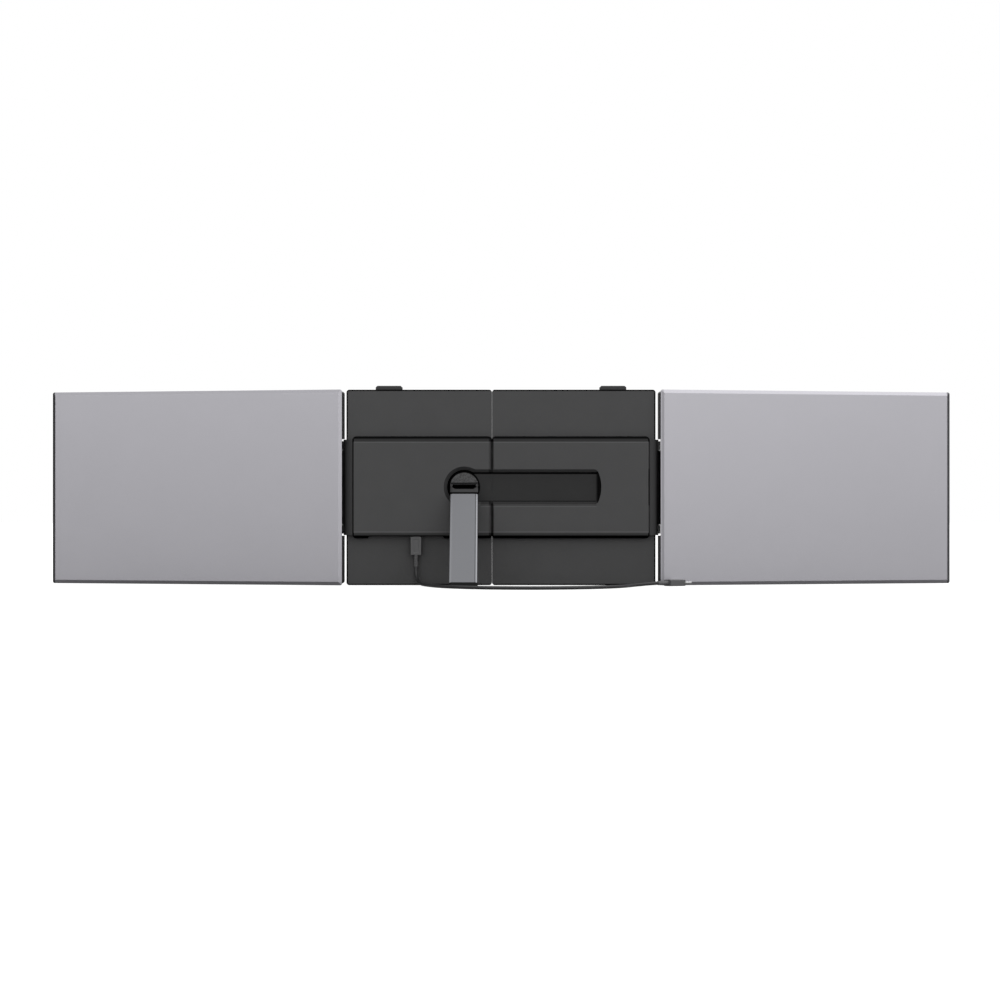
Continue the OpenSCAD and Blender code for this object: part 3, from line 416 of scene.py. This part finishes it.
def rounded_off(piece, width, steps=2, sharp=30):
    """Rounds the edges that turn more than sharp degrees with a bevel, and shades the piece."""
    if piece.mode == "EDIT":
        bpy.ops.object.mode_set(mode="OBJECT")
    bpy.context.view_layer.objects.active = piece
    bevel = piece.modifiers.new("bevel", "BEVEL")
    bevel.width = width
    bevel.segments = steps
    bevel.limit_method = "ANGLE"
    bevel.angle_limit = math.radians(sharp)
    bevel.harden_normals = False
    bpy.ops.object.modifier_apply(modifier=bevel.name)
    bpy.ops.object.select_all(action="DESELECT")
    piece.select_set(True)
    bpy.ops.object.shade_smooth_by_angle(angle=math.radians(SMOOTH_DEGREES))
    flatten = piece.modifiers.new("flatten", "WEIGHTED_NORMAL")
    flatten.keep_sharp = True
    bpy.ops.object.modifier_apply(modifier=flatten.name)
    return piece


def fitted(piece, made, body, slot, *replaced):
    """Gives a piece its finish and its body, and hides the CAD nodes that it stands for. slot is
    not used.
    """
    if piece.mode == "EDIT":
        bpy.ops.object.mode_set(mode="OBJECT")
    piece.data.materials.clear()
    piece.data.materials.append(made)
    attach(piece, body)
    if replaced:
        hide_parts(*replaced)
    return piece


PLUG_SIDES, RELIEF_SIDES = (0.0050, 0.0058), (0.0017, 0.0023)
HANGING_REACH = (0.0080, 0.0075)


def painted_side_shade(sides, darkness):
    """Painted shade: what hangs from the hub is painted darker at both sides. The far plug isn't.
    """
    side = (along(0) - PLUG_X).maths("ABSOLUTE")
    return 1 - side.between(*sides) * side.between(*HANGING_REACH) * darkness


# The plug and its relief carry painted shade at their sides.
plug_skin = plastic("plug_plastic", (0.088, 0.088, 0.090), 0.00002, 3000.0, 0.5,
                    lambda: painted_side_shade(PLUG_SIDES, 0.85))
relief_skin = plastic("relief_rubber", (0.095, 0.095, 0.097), 0.00002, 3000.0, 0.5,
                      lambda: painted_side_shade(RELIEF_SIDES, 0.8))
PLUG_W, PLUG_T, PLUG_L = 0.0123, 0.0064, 0.0186
PLUG_CORNER, PLUG_EDGE = 0.0009, 0.00025
GRIP_RIM, GRIP_SLOPE, GRIP_IN = 0.0022, 0.0004, 0.00025
MOUTH_RIM = 0.0008


def moulded_plug(name):
    """A plug's body, drawn pointing up, with its mouth at the origin."""
    piece = block(name, (-PLUG_W / 2, -PLUG_T / 2, -PLUG_L), (PLUG_W / 2, PLUG_T / 2, 0))
    pick(piece, "edges", lambda middle, way: abs(way.z) > 0.9)
    bpy.ops.mesh.bevel(offset=PLUG_CORNER, segments=3, affect="EDGES")
    pick(piece, "faces", lambda middle, way: abs(way.y) > 0.99)
    bpy.ops.mesh.inset(thickness=GRIP_RIM, depth=0)
    bpy.ops.mesh.inset(thickness=GRIP_SLOPE, depth=-GRIP_IN)
    pick(piece, "faces", lambda middle, way: way.z < -0.9)
    bpy.ops.mesh.inset(thickness=MOUTH_RIM, depth=0)
    return rounded_off(piece, PLUG_EDGE)


RELIEF_L, RELIEF_THICK, RELIEF_THIN = 0.012, 0.0025, LEAD_R + 0.00025
RINGS, RING_GROOVE = 5, 0.9
RING_SMOOTH = 40


def strain_relief(name):
    """The relief below a plug: rings that grow smaller towards the jacket."""
    pitch = RELIEF_L / RINGS
    steps = [(RELIEF_THIN, -RELIEF_L)]
    for k in range(RINGS):
        low = -RELIEF_L + k * pitch
        size = RELIEF_THIN + (RELIEF_THICK - RELIEF_THIN) * min(1.0, (k + 1) / (RINGS - 1))
        steps += [(size, low + 0.25 * pitch), (size, low + 0.75 * pitch)]
        if k < RINGS - 1:
            groove = size * RING_GROOVE
            steps += [(groove, low + 0.8 * pitch), (groove, low + pitch)]
    steps.append((RELIEF_THICK, 0))
    return turned(name, steps)


END_HEADING = Vector((0.848, 0.53, 0)).normalized()
end_turn = math.atan2(END_HEADING.y, END_HEADING.x)
lying = (Matrix.Translation(line[-1]) @ Matrix.Rotation(end_turn, 4, "Z")
         @ Matrix.Rotation(math.radians(90), 4, "Y")
         @ Matrix.Translation((0, 0, RELIEF_L)) @ Matrix.Rotation(math.radians(90), 4, "Z"))
plug_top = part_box("lead_plug")[1].z
standing = Matrix.Translation((PLUG_X, SOCKET_Y, plug_top - PLUG_L))
lead_ends = []
for prefix, spot, nodes_there in (
    ("lead", standing, ("lead_plug", "lead_relief")),
    ("end", lying, ("end_plug", "end_relief")),
):
    body = moulded_plug(prefix + "_plug_moulding")
    body.data.transform(spot @ Matrix.Translation((0, 0, PLUG_L)))
    fitted(body, plug_skin, "left_frame", "plug_plastic", nodes_there[0])
    sleeve = strain_relief(prefix + "_relief_moulding")
    sleeve.data.transform(spot)
    bpy.ops.object.shade_smooth_by_angle(angle=math.radians(RING_SMOOTH))
    fitted(sleeve, relief_skin, "left_frame", "plug_plastic", nodes_there[1])
    lead_ends += [body, sleeve]
connector = steel("connector_steel", (0.6, 0.6, 0.6), 0.28, (2600, 2600, 60))
dress(connector, "end_plug_tip", "usb_sockets")
# A darker copy of the connector steel: painted shade for the shell that sits in the hub.
painted_shade_connector = steel("painted_shade_connector_steel", (0.09, 0.09, 0.09), 0.45, (2600, 2600, 60))
dress(painted_shade_connector, "lead_plug_tip")
lead_length = sum((b - a).length for a, b in zip(line, line[1:]))

# The frame: two flat plates of glass-filled nylon, split left of the middle, that slide
# apart on rails to fit the laptop. Their edges are rounded by the mould.
PLATE_TONE = (0.0475, 0.0475, 0.0485)
FRAME_HALF, FRAME_H, PLATE_R = 0.1597, 0.202, 0.003
PLATE_RIM = (0.0009, 0.0020)
PLATE_FADE = (-0.5, 0.16)


def from_rim(half_w, half_h, radius):
    """The way in from a rounded outline about the frame's middle, seen from behind."""
    out_x = along(0).maths("ABSOLUTE") - (half_w - radius)
    out_z = (along(2) - FRAME_H / 2).maths("ABSOLUTE") - (half_h - radius)
    corner = (out_x.maths("MAXIMUM", 0.0).maths("POWER", 2.0)
              + out_z.maths("MAXIMUM", 0.0).maths("POWER", 2.0)).maths("SQRT")
    return radius - corner - out_x.maths("MAXIMUM", out_z).maths("MINIMUM", 0.0)


def plate_painted_shade():
    """Painted shade: the plates' rims are painted dark, and the plates are painted a little darker
    towards their lower edge, below the hub."""
    rim = from_rim(FRAME_HALF, FRAME_H / 2, PLATE_R).between(*PLATE_RIM)
    return rim * along(2).between(*PLATE_FADE)


def softened(node, made, slot, width, sharp=30):
    """A merged copy of a CAD node with its edges rounded, which stands for the node."""
    bpy.ops.object.select_all(action="DESELECT")
    piece = nodes[node].copy()
    piece.data = nodes[node].data.copy()
    piece.name = piece.data.name = node + "_moulding"
    piece.parent = None
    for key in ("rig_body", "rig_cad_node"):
        del piece[key]
    bpy.context.scene.collection.objects.link(piece)
    bpy.context.view_layer.objects.active = piece
    piece.select_set(True)
    bpy.ops.mesh.customdata_custom_splitnormals_clear()
    bpy.ops.object.mode_set(mode="EDIT")
    bpy.ops.mesh.select_all(action="SELECT")
    bpy.ops.mesh.remove_doubles(threshold=0.000002)
    bpy.ops.mesh.dissolve_limited(angle_limit=math.radians(0.6))
    bpy.ops.mesh.mark_sharp(clear=True)
    bpy.ops.object.mode_set(mode="OBJECT")
    rounded_off(piece, width, sharp=sharp)
    return fitted(piece, made, nodes[node]["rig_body"], slot, node)


plate_skin = plastic("frame_plastic", PLATE_TONE, 0.00003, 2200.0, 0.6, plate_painted_shade)
for node in ("left_plate", "right_plate"):
    softened(node, plate_skin, "frame_plastic", 0.0003)

# The lid hooks: moulded arms with rounded corners, screwed to the plates, that hold the frame
# to the laptop's lid, and soft pads where they and the plates touch it.
hook_skin = plastic("hook_plastic", (0.018, 0.018, 0.019), 0.00002, 2600.0, 0.55)
pad_skin = plastic("pad_rubber", (0.020, 0.020, 0.020), 0.00004, 5200.0, 0.8)
for side in ("left", "right"):
    softened(side + "_lid_hook", hook_skin, "hook_plastic", 0.0004)
    softened(side + "_hook_pad", pad_skin, "pad_rubber", 0.0002)
    softened(side + "_lid_pads", pad_skin, "pad_rubber", 0.0003)

# The hub: two hollow covers of the same nylon, screwed on from the lid's side. The pocket
# for the kickstand is sunk into them, and their long edges are rounded.
HUB_TONE = (0.045, 0.045, 0.046)
HUB_HALF, HUB_R, HUB_EDGE = 0.153, 0.004, 0.0052
HUB_LOW, HUB_HIGH = (corner.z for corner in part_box("left_hub_cover"))
STAND_X, STAND_Z = -0.0379, 0.1014
LIP, WALL_R = 0.0031, 0.0176
SLOT_HALF, SLOT_END = 0.0152, 0.1033
SPLIT = (-0.0126, -0.0081)
FROM_LEG, SHORT_OF_END = (0.016, 0.018), (0.004, 0.006)
HUB_RIM = (0.0009, 0.0018)
FINE_LINE = (0.0007, 0.0002)
END_LIFT, END_LIFT_RIGHT = 0.25, 0.45
UPPER_LINE, UPPER_EDGE, LOWER_EDGE = 0.72, 0.20, 0.62
IN_LIP, ON_FLOOR, ROUND_LIP = 0.40, 0.48, 0.7
WALL_FOOT, LOW_WALL = 0.45, 0.48
IN_SPLIT, AT_SLOT_END = 0.5, 0.86


def band(value, middle, far, near):
    """1 where a value lies within near of its middle, and 0 further off than far."""
    return (value - middle).maths("ABSOLUTE").between(far, near)


def off_swivel(aside=0.0):
    """The distance from the swivel's axis, or from one beside it."""
    return ((along(0) - (STAND_X + aside)).maths("POWER", 2.0)
            + (along(2) - STAND_Z).maths("POWER", 2.0)).maths("SQRT")


def beside_leg(across):
    """The slot's length that shows beside the upright leg."""
    past_leg = (across - STAND_X).between(*FROM_LEG)
    return past_leg * (SLOT_END - across).between(*SHORT_OF_END)


def hub_painted_shade():
    """Painted shade round the swivel, in the slot, along the hub's rim and in its rounded edges,
    where the gloss is taken too.
    """
    across, depth, height = along(0), along(1), along(2)
    middle, half = (HUB_HIGH + HUB_LOW) / 2, (HUB_HIGH - HUB_LOW) / 2
    rim = from_rim(HUB_HALF, half, HUB_R).between(*HUB_RIM)
    # the painted shade on the rim is lighter down the hub's ends, away from its corners, most of
    # all on the right
    ends = band(height, middle, half - HUB_R, half - 2 * HUB_R) * (
        END_LIFT + END_LIFT_RIGHT * across.between(-0.01, 0.01))
    rim = rim + (1 - rim) * ends
    face_top, slot_low = HUB_HIGH - HUB_EDGE, STAND_Z - SLOT_HALF
    sunk = depth.between(LIP - 0.0004, LIP + 0.0006)
    # Each dark below is painted shade, taken off the mask.
    darks = [
        # the rounded edges above and below the face, and the foot of the lower one
        height.between(face_top - 0.0006, face_top - 0.0001) * UPPER_LINE
        + height.between(face_top + 0.0010, HUB_HIGH - 0.0010) * UPPER_EDGE,
        height.between(HUB_LOW + 0.0062, HUB_LOW + 0.0057) * LOWER_EDGE,
        height.between(HUB_LOW + 0.0035, HUB_LOW + 0.0028),
        # the pocket's lip, its floor, and the floor just under the lip
        depth.between(0.0002, 0.0010) * IN_LIP,
        sunk * ON_FLOOR,
        sunk * height.between(STAND_Z + SLOT_HALF - 0.0021, STAND_Z + SLOT_HALF - 0.0015),
        # the ring round the swivel's head, and the line round the lip
        off_swivel().between(WALL_R + 0.0004, WALL_R - 0.0002) * sunk
        * off_swivel(-0.0012).between(WALL_R + 0.0004, WALL_R - 0.0008),
        band(off_swivel(), WALL_R + LIP, *FINE_LINE) * (depth.between(0.0010, 0.0004) * ROUND_LIP),
        # the slot's sloping end and its lower wall
        across.between(SLOT_END - 0.0062, SLOT_END - 0.0030) * depth.between(0.0, 0.0003)
        * band(height, STAND_Z, SLOT_HALF + LIP + 0.001, SLOT_HALF + LIP) * AT_SLOT_END,
        beside_leg(across) * (band(height, slot_low + 0.0004, 0.0010, 0.0004) * WALL_FOOT
                              + band(height, slot_low - 0.0022, 0.0020, 0.0015) * LOW_WALL),
        # the groove where the covers meet
        across.between(SPLIT[0] - 0.0002, SPLIT[0] + 0.0003)
        * across.between(SPLIT[1] + 0.0002, SPLIT[1] - 0.0003) * (1 - sunk) * IN_SPLIT,
    ]
    for dark in darks:
        rim = rim * (1 - dark)
    return rim


LIT, SLOT_LIT = 0.8, 0.7


def hub_painted_highlight():
    """Painted highlight: bright lines where the face runs over into an edge, and along the slot's
    lower wall.
    """
    face, height = along(1).between(0.0008, 0.0002), along(2)
    high = band(height, HUB_HIGH - HUB_EDGE - 0.0009, *FINE_LINE)
    low = band(height, HUB_LOW + 0.0068, *FINE_LINE)
    slot = band(height, STAND_Z - SLOT_HALF - LIP - 0.0018, *FINE_LINE) * beside_leg(along(0))
    return face * (high + low + slot * SLOT_LIT) * LIT


# The covers carry painted shade and painted highlight lines.
hub_skin = plastic("hub_plastic", HUB_TONE, 0.00003, 2600.0, 0.55, hub_painted_shade, hub_painted_highlight)
for node in ("left_hub_cover", "right_hub_cover"):
    softened(node, hub_skin, "hub_plastic", 0.00025)

# The kickstand: half a disc that turns in the hub, a hinge block, an extruded aluminium leg
# with bevelled edges, and a rubber foot.
TILT_Z, BLOCK_END = 0.1032, 0.0944


def head_painted_shade():
    """Painted shade: the barrel below the half disc, in the block's window, is painted dark
    without gloss, and so is a line at the gap above it."""
    gap = band(along(2), TILT_Z + 0.0021, 0.0007, 0.0003)
    return along(2).between(TILT_Z + 0.0009, TILT_Z + 0.0013) * (1 - gap * 0.8)


def block_painted_shade():
    """The block steps down to meet the leg, and the step is painted dark as shade."""
    return along(2).between(BLOCK_END + 0.0014, BLOCK_END + 0.0020)


head_skin = plastic("head_plastic", (0.042, 0.042, 0.043), 0.00006, 700.0, 0.5, head_painted_shade,
                    uneven=0.7)
block_skin = plastic("block_plastic", (0.016, 0.016, 0.017), 0.00002, 2600.0, 0.55, block_painted_shade)
foot_skin = plastic("foot_rubber", (0.005, 0.005, 0.005), 0.00003, 3000.0, 0.75, gloss=0.12)
softened("swivel_head", head_skin, "hub_plastic", 0.0002)
softened("stand_block", block_skin, "block_plastic", 0.0002, sharp=18)
softened("stand_foot", foot_skin, "foot_rubber", 0.0003, sharp=18)


def blasted(name, tone, rough, painted_shade, darkest=0.1):
    """Bead-blasted and anodised aluminium: a very fine, even grain. The shade mask paints shade by
    the object's place: at 0, where an edge turns away, the colour is darkest times the tone."""
    made, shader = finish(name, tone, rough, metal=1.0)
    speck = grain(3400.0, 1.0, 0.7)
    cloud = grain(24.0, 3.0, 0.55)
    shade = (speck * 0.75 + cloud * 0.25).between(0.25, 0.75)
    colour = shade.blend(tinted(tone, 0.97), tinted(tone, 1.03))
    # Painted shade from the mask darkens the colour.
    Sock.join(shader.inputs["Base Color"], painted_shade().blend(tinted(tone, darkest), colour))
    Sock.join(shader.inputs["Roughness"], rough + 0.10 * (speck - 0.5))
    relief(shader, speck, 0.000006, 0.5)
    return made


LEG_HALF = (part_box("stand_leg")[1].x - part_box("stand_leg")[0].x) / 2
GROOVE_IN, GROOVE_DARK = 0.0024, 0.6


def leg_painted_shade():
    """Painted shade: the leg's long edges are painted dark, and so is a fine line beside the right
    one.
    """
    across = along(0) - STAND_X
    groove = band(across, LEG_HALF - GROOVE_IN, 0.0007, 0.0003)
    edges = across.maths("ABSOLUTE").between(LEG_HALF - 0.0001, LEG_HALF - 0.0008)
    return edges * (1 - groove * GROOVE_DARK)


leg_skin = blasted("leg_aluminium", (0.192, 0.195, 0.207), 0.24, leg_painted_shade)
softened("stand_leg", leg_skin, "leg_aluminium", 0.00012, sharp=18)
dress(steel("pin_steel", (0.5, 0.5, 0.51), 0.3), "stand_hinge_pin", "left_hinge_pin",
      "right_hinge_pin")
dress(steel("washer_steel", (0.42, 0.42, 0.43), 0.35, (900, 900, 900)), "swivel_washer")

# The screens' hinges: a dark round shoulder at each end of the hub, over a steel bracket, a
# pin and a leaf that runs into the screen.
SHOULDER_TURN, SHOULDER_OFF = (0.1655, 0.1555), 0.0004


def cover_painted_shade():
    """Painted shade: the shoulder is painted darker where it turns away beside the screen, a
    little sooner on the right.
    """
    return (along(0) + SHOULDER_OFF).maths("ABSOLUTE").between(*SHOULDER_TURN)


cover_skin = plastic("hinge_cover_plastic", (0.021, 0.021, 0.022), 0.00002, 2600.0, 0.5,
                     cover_painted_shade, gloss=0.38)
hinge_steel = steel("hinge_steel", (0.06, 0.06, 0.065), 0.42, (700, 700, 60))
for side in ("left", "right"):
    softened(side + "_hinge_cover", cover_skin, "hinge_cover_plastic", 0.0002)
    dress(hinge_steel, side + "_hinge_bracket", side + "_screen_hinge")

# The screens: a pressed and anodised aluminium back with a bevel all round, clipped to a
# black plastic frame that holds the display behind its glass.
SCREEN_W, SCREEN_T, SCREEN_H = 0.3223, 0.0024, 0.202
SCREEN_BACK = 0.0015
SHELL_IN, SHELL_R, SHELL_WALL = 0.0005, 0.002, 0.0012
BEVEL_IN, BEVEL_DEEP = 0.0035, 0.0015
SCREEN_GAP = {"left": 0.161, "right": 0.1602}
OPEN_ANGLE = {"left": -14.9, "right": 14.9}
SHELL_TONE = (0.450, 0.443, 0.474)
SHELL_LIP = {"left": (0.0018, 0.0033), "right": (0.0022, 0.0042)}
LIP_DARKEST = {"left": 0.05, "right": 0.25}
HINGE_BEVEL = {"left": 0.0, "right": 0.3}
LOWEST_BEVEL = 0.24
hinges = {j["child"]: Vector(j["pos_m"]) for j in frame["joints"] if j["type"] == "hinge"}


def laid_flat(side):
    """The place on a screen from its hinge, with the screen turned back in line."""
    spot = Sock.node("ShaderNodeVectorMath", {"operation": "SUBTRACT"}, i0=where(),
                     i1=tuple(hinges[side + "_screen"]))
    return Sock.node("ShaderNodeVectorRotate", {"rotation_type": "Z_AXIS"}, i0=spot,
                     Angle=math.radians(-OPEN_ANGLE[side]))


def shell_painted_shade(side, sign):
    """Painted shade: the bevel at the far end is painted dark, on the right the one beside the
    hinge is painted a little darker, and the lowest one is painted darker near the desk."""
    place = sign * along(0, laid_flat(side)) + (
        abs(hinges[side + "_screen"].x) - SCREEN_GAP[side])
    by_hinge = band(place, 0.0027, 0.0013, 0.0007)
    lowest = along(2).between(BEVEL_IN + 0.0003, BEVEL_IN - 0.0003)
    return (SCREEN_W - place).between(*SHELL_LIP[side]) * (
        1 - by_hinge * HINGE_BEVEL[side]) * (1 - lowest * LOWEST_BEVEL)


def pressed_shell(side, sign):
    """A screen's back before it is turned: a shallow tray with a bevel all round."""
    near = sign * (SCREEN_GAP[side] + SHELL_IN)
    far = sign * (SCREEN_GAP[side] + SCREEN_W)
    shell = block(side + "_shell_pressing", (min(near, far), SCREEN_BACK, 0),
                  (max(near, far), SCREEN_BACK + SCREEN_T, SCREEN_H))
    pick(shell, "faces", lambda middle, way: way.y < -0.9)
    bpy.ops.mesh.inset(thickness=BEVEL_IN, depth=0)
    pick(shell, "verts", lambda middle, way: middle.y < SCREEN_BACK + 0.0001 and not (
        BEVEL_IN / 2 < middle.z < SCREEN_H - BEVEL_IN / 2
        and min(abs(middle.x - near), abs(middle.x - far)) > BEVEL_IN / 2))
    bpy.ops.transform.translate(value=(0, BEVEL_DEEP, 0))
    pick(shell, "edges", lambda middle, way: abs(way.y) > 0.9)
    bpy.ops.mesh.bevel(offset=SHELL_R, segments=5, affect="EDGES")
    pick(shell, "faces", lambda middle, way: way.y > 0.9)
    bpy.ops.mesh.delete(type="FACE")
    bpy.ops.object.mode_set(mode="OBJECT")
    wall = shell.modifiers.new("wall", "SOLIDIFY")
    wall.thickness = SHELL_WALL
    wall.offset = -1
    wall.use_even_offset = True
    bpy.ops.object.modifier_apply(modifier=wall.name)
    return rounded_off(shell, 0.0003, 3, 18)


bezel_skin = plastic("bezel_plastic", (0.011, 0.011, 0.011), 0.00002, 3000.0, 0.45)
for side, sign in (("left", -1), ("right", 1)):
    shell = pressed_shell(side, sign)
    hinge = hinges[side + "_screen"]
    shell.data.transform(Matrix.Translation(hinge)
                         @ Matrix.Rotation(math.radians(OPEN_ANGLE[side]), 4, "Z")
                         @ Matrix.Translation(-hinge))
    skin = blasted(side + "_shell_aluminium", SHELL_TONE, 0.30,
                   lambda: shell_painted_shade(side, sign), LIP_DARKEST[side])
    fitted(shell, skin, side + "_screen", "shell_aluminium", side + "_back_shell")
    softened(side + "_screen_frame", bezel_skin, "bezel_plastic", 0.0003)
    softened(side + "_menu_button", bezel_skin, "bezel_plastic", 0.0003)

# The glass: dark and glossy, laid in the screen's frame, with a black printed border round
# the display's own grey.
LCD_W, LCD_H, CHIN = 0.3094, 0.176, 0.0175
PRINT_EDGE = 0.0001
BORDER = (0.003, 0.003, 0.003)
for side, sign in (("left", -1), ("right", 1)):
    hinge = hinges[side + "_screen"]
    made, shader = finish(side + "_screen_glass", (0.01, 0.01, 0.01), 0.08, coat=0.6,
                          coat_rough=0.03)
    flat = laid_flat(side)
    middle_x = sign * (SCREEN_GAP[side] + SCREEN_W / 2) - hinge.x
    middle_z = CHIN + LCD_H / 2 - hinge.z
    active = (band(along(0, flat), middle_x, LCD_W / 2 + PRINT_EDGE, LCD_W / 2 - PRINT_EDGE)
              * band(along(2, flat), middle_z, LCD_H / 2 + PRINT_EDGE, LCD_H / 2 - PRINT_EDGE))
    haze = grain(9.0, 2.0)
    greys = haze.between(0.2, 0.8).blend((0.0085, 0.009, 0.011), (0.0115, 0.012, 0.014))
    Sock.join(shader.inputs["Base Color"], active.blend(BORDER, greys))
    Sock.join(shader.inputs["Roughness"], 0.07 + 0.16 * active + 0.02 * haze)
    dress(made, side + "_front_glass")

# Inside, mostly out of sight: the displays' pressed steel trays, the steel rails in their
# plastic guides, and the green boards with their copper tracks.
tray = steel("display_tray", (0.35, 0.35, 0.36), 0.4, (30, 900, 900))
dress(tray, "left_display", "right_display")
dress(steel("rail_steel", (0.42, 0.42, 0.43), 0.32, (30, 2600, 2600)), "slide_rails")
dress(plastic("guide_plastic", (0.03, 0.03, 0.03), 0.00002, 2400.0, 0.4), "rail_guides")
board, shader = finish("board", (0.02, 0.12, 0.05), 0.35, coat=0.4, coat_rough=0.15)
tracks = Sock.node("ShaderNodeTexBrick", {"offset": 0.37}, Vector=where(), Scale=520.0,
                   Mortar_Size=0.06, Brick_Width=0.9, Row_Height=0.4, out=1)
copper = tracks.between(0.4, 0.6) * grain(160.0, 1.0).between(0.45, 0.55)
Sock.join(shader.inputs["Base Color"], copper.blend((0.012, 0.085, 0.035), (0.03, 0.16, 0.07)))
relief(shader, copper, 0.00002)
dress(board, "driver_board", "left_screen_board", "right_screen_board")

# The screws that hold the hub's covers: blackened steel, with a star recess in a flat head
# that lies sunk in the plate. The hinges' screws are the same, inside the screens.
HEAD_R, HEAD_H, SHANK_R, SHANK_L = 0.0022, 0.0016, 0.0011, 0.0064
STAR_R, STAR_IN, STAR_DEEP = 0.0013, 0.7, 0.0009
STAR_POINTS = 6
PLATE_FRONT = 0.0135
SCREW_Z = (0.0578, 0.1442)
SCREW_X = {"left": (-0.144, -0.01835), "right": (-0.00025, 0.144)}
screw_skin = steel("screw_steel", (0.10, 0.10, 0.105), 0.4, (900, 900, 900))
dress(screw_skin, "left_hinge_screws", "right_hinge_screws")
pattern = fresh("cylinder", "screw", (0, 0, -HEAD_H / 2), vertices=48, radius=HEAD_R,
                depth=HEAD_H)
pick(pattern, "faces", lambda middle, way: way.z > 0.9)
bpy.ops.mesh.inset(thickness=HEAD_R - STAR_R, depth=0)
pick(pattern, "verts", lambda spot, way: (
    spot.z > -0.0001 and spot.xy.length < STAR_R + 0.0001
    and math.cos(STAR_POINTS * math.atan2(spot.y, spot.x)) < -0.1))
bpy.ops.transform.resize(value=(STAR_IN, STAR_IN, 1), center_override=(0, 0, 0))
pick(pattern, "faces", lambda middle, way: way.z > 0.9 and middle.xy.length < 0.0003)
bpy.ops.mesh.extrude_region_move(TRANSFORM_OT_translate={"value": (0, 0, -STAR_DEEP)})
pick(pattern, "faces", lambda middle, way: way.z < -0.9 and middle.z < -HEAD_H + 0.0001)
bpy.ops.mesh.inset(thickness=HEAD_R - SHANK_R, depth=0)
bpy.ops.mesh.extrude_region_move(TRANSFORM_OT_translate={"value": (0, 0, -SHANK_L)})
rounded_off(pattern, 0.0001, 1)
for side, places in SCREW_X.items():
    screws = []
    for x in places:
        for z in SCREW_Z:
            screw = pattern.copy()
            screw.data = pattern.data.copy()
            bpy.context.scene.collection.objects.link(screw)
            screw.data.transform(Matrix.Translation((x, PLATE_FRONT, z))
                                 @ Matrix.Rotation(math.radians(-90), 4, "X"))
            screws.append(screw)
    bpy.ops.object.select_all(action="DESELECT")
    for screw in screws:
        screw.select_set(True)
    bpy.context.view_layer.objects.active = screws[0]
    bpy.ops.object.join()
    screws[0].name = screws[0].data.name = side + "_hub_screw_set"
    fitted(screws[0], screw_skin, side + "_frame", "screw_steel", side + "_hub_screws")
bpy.data.objects.remove(pattern, do_unlink=True)
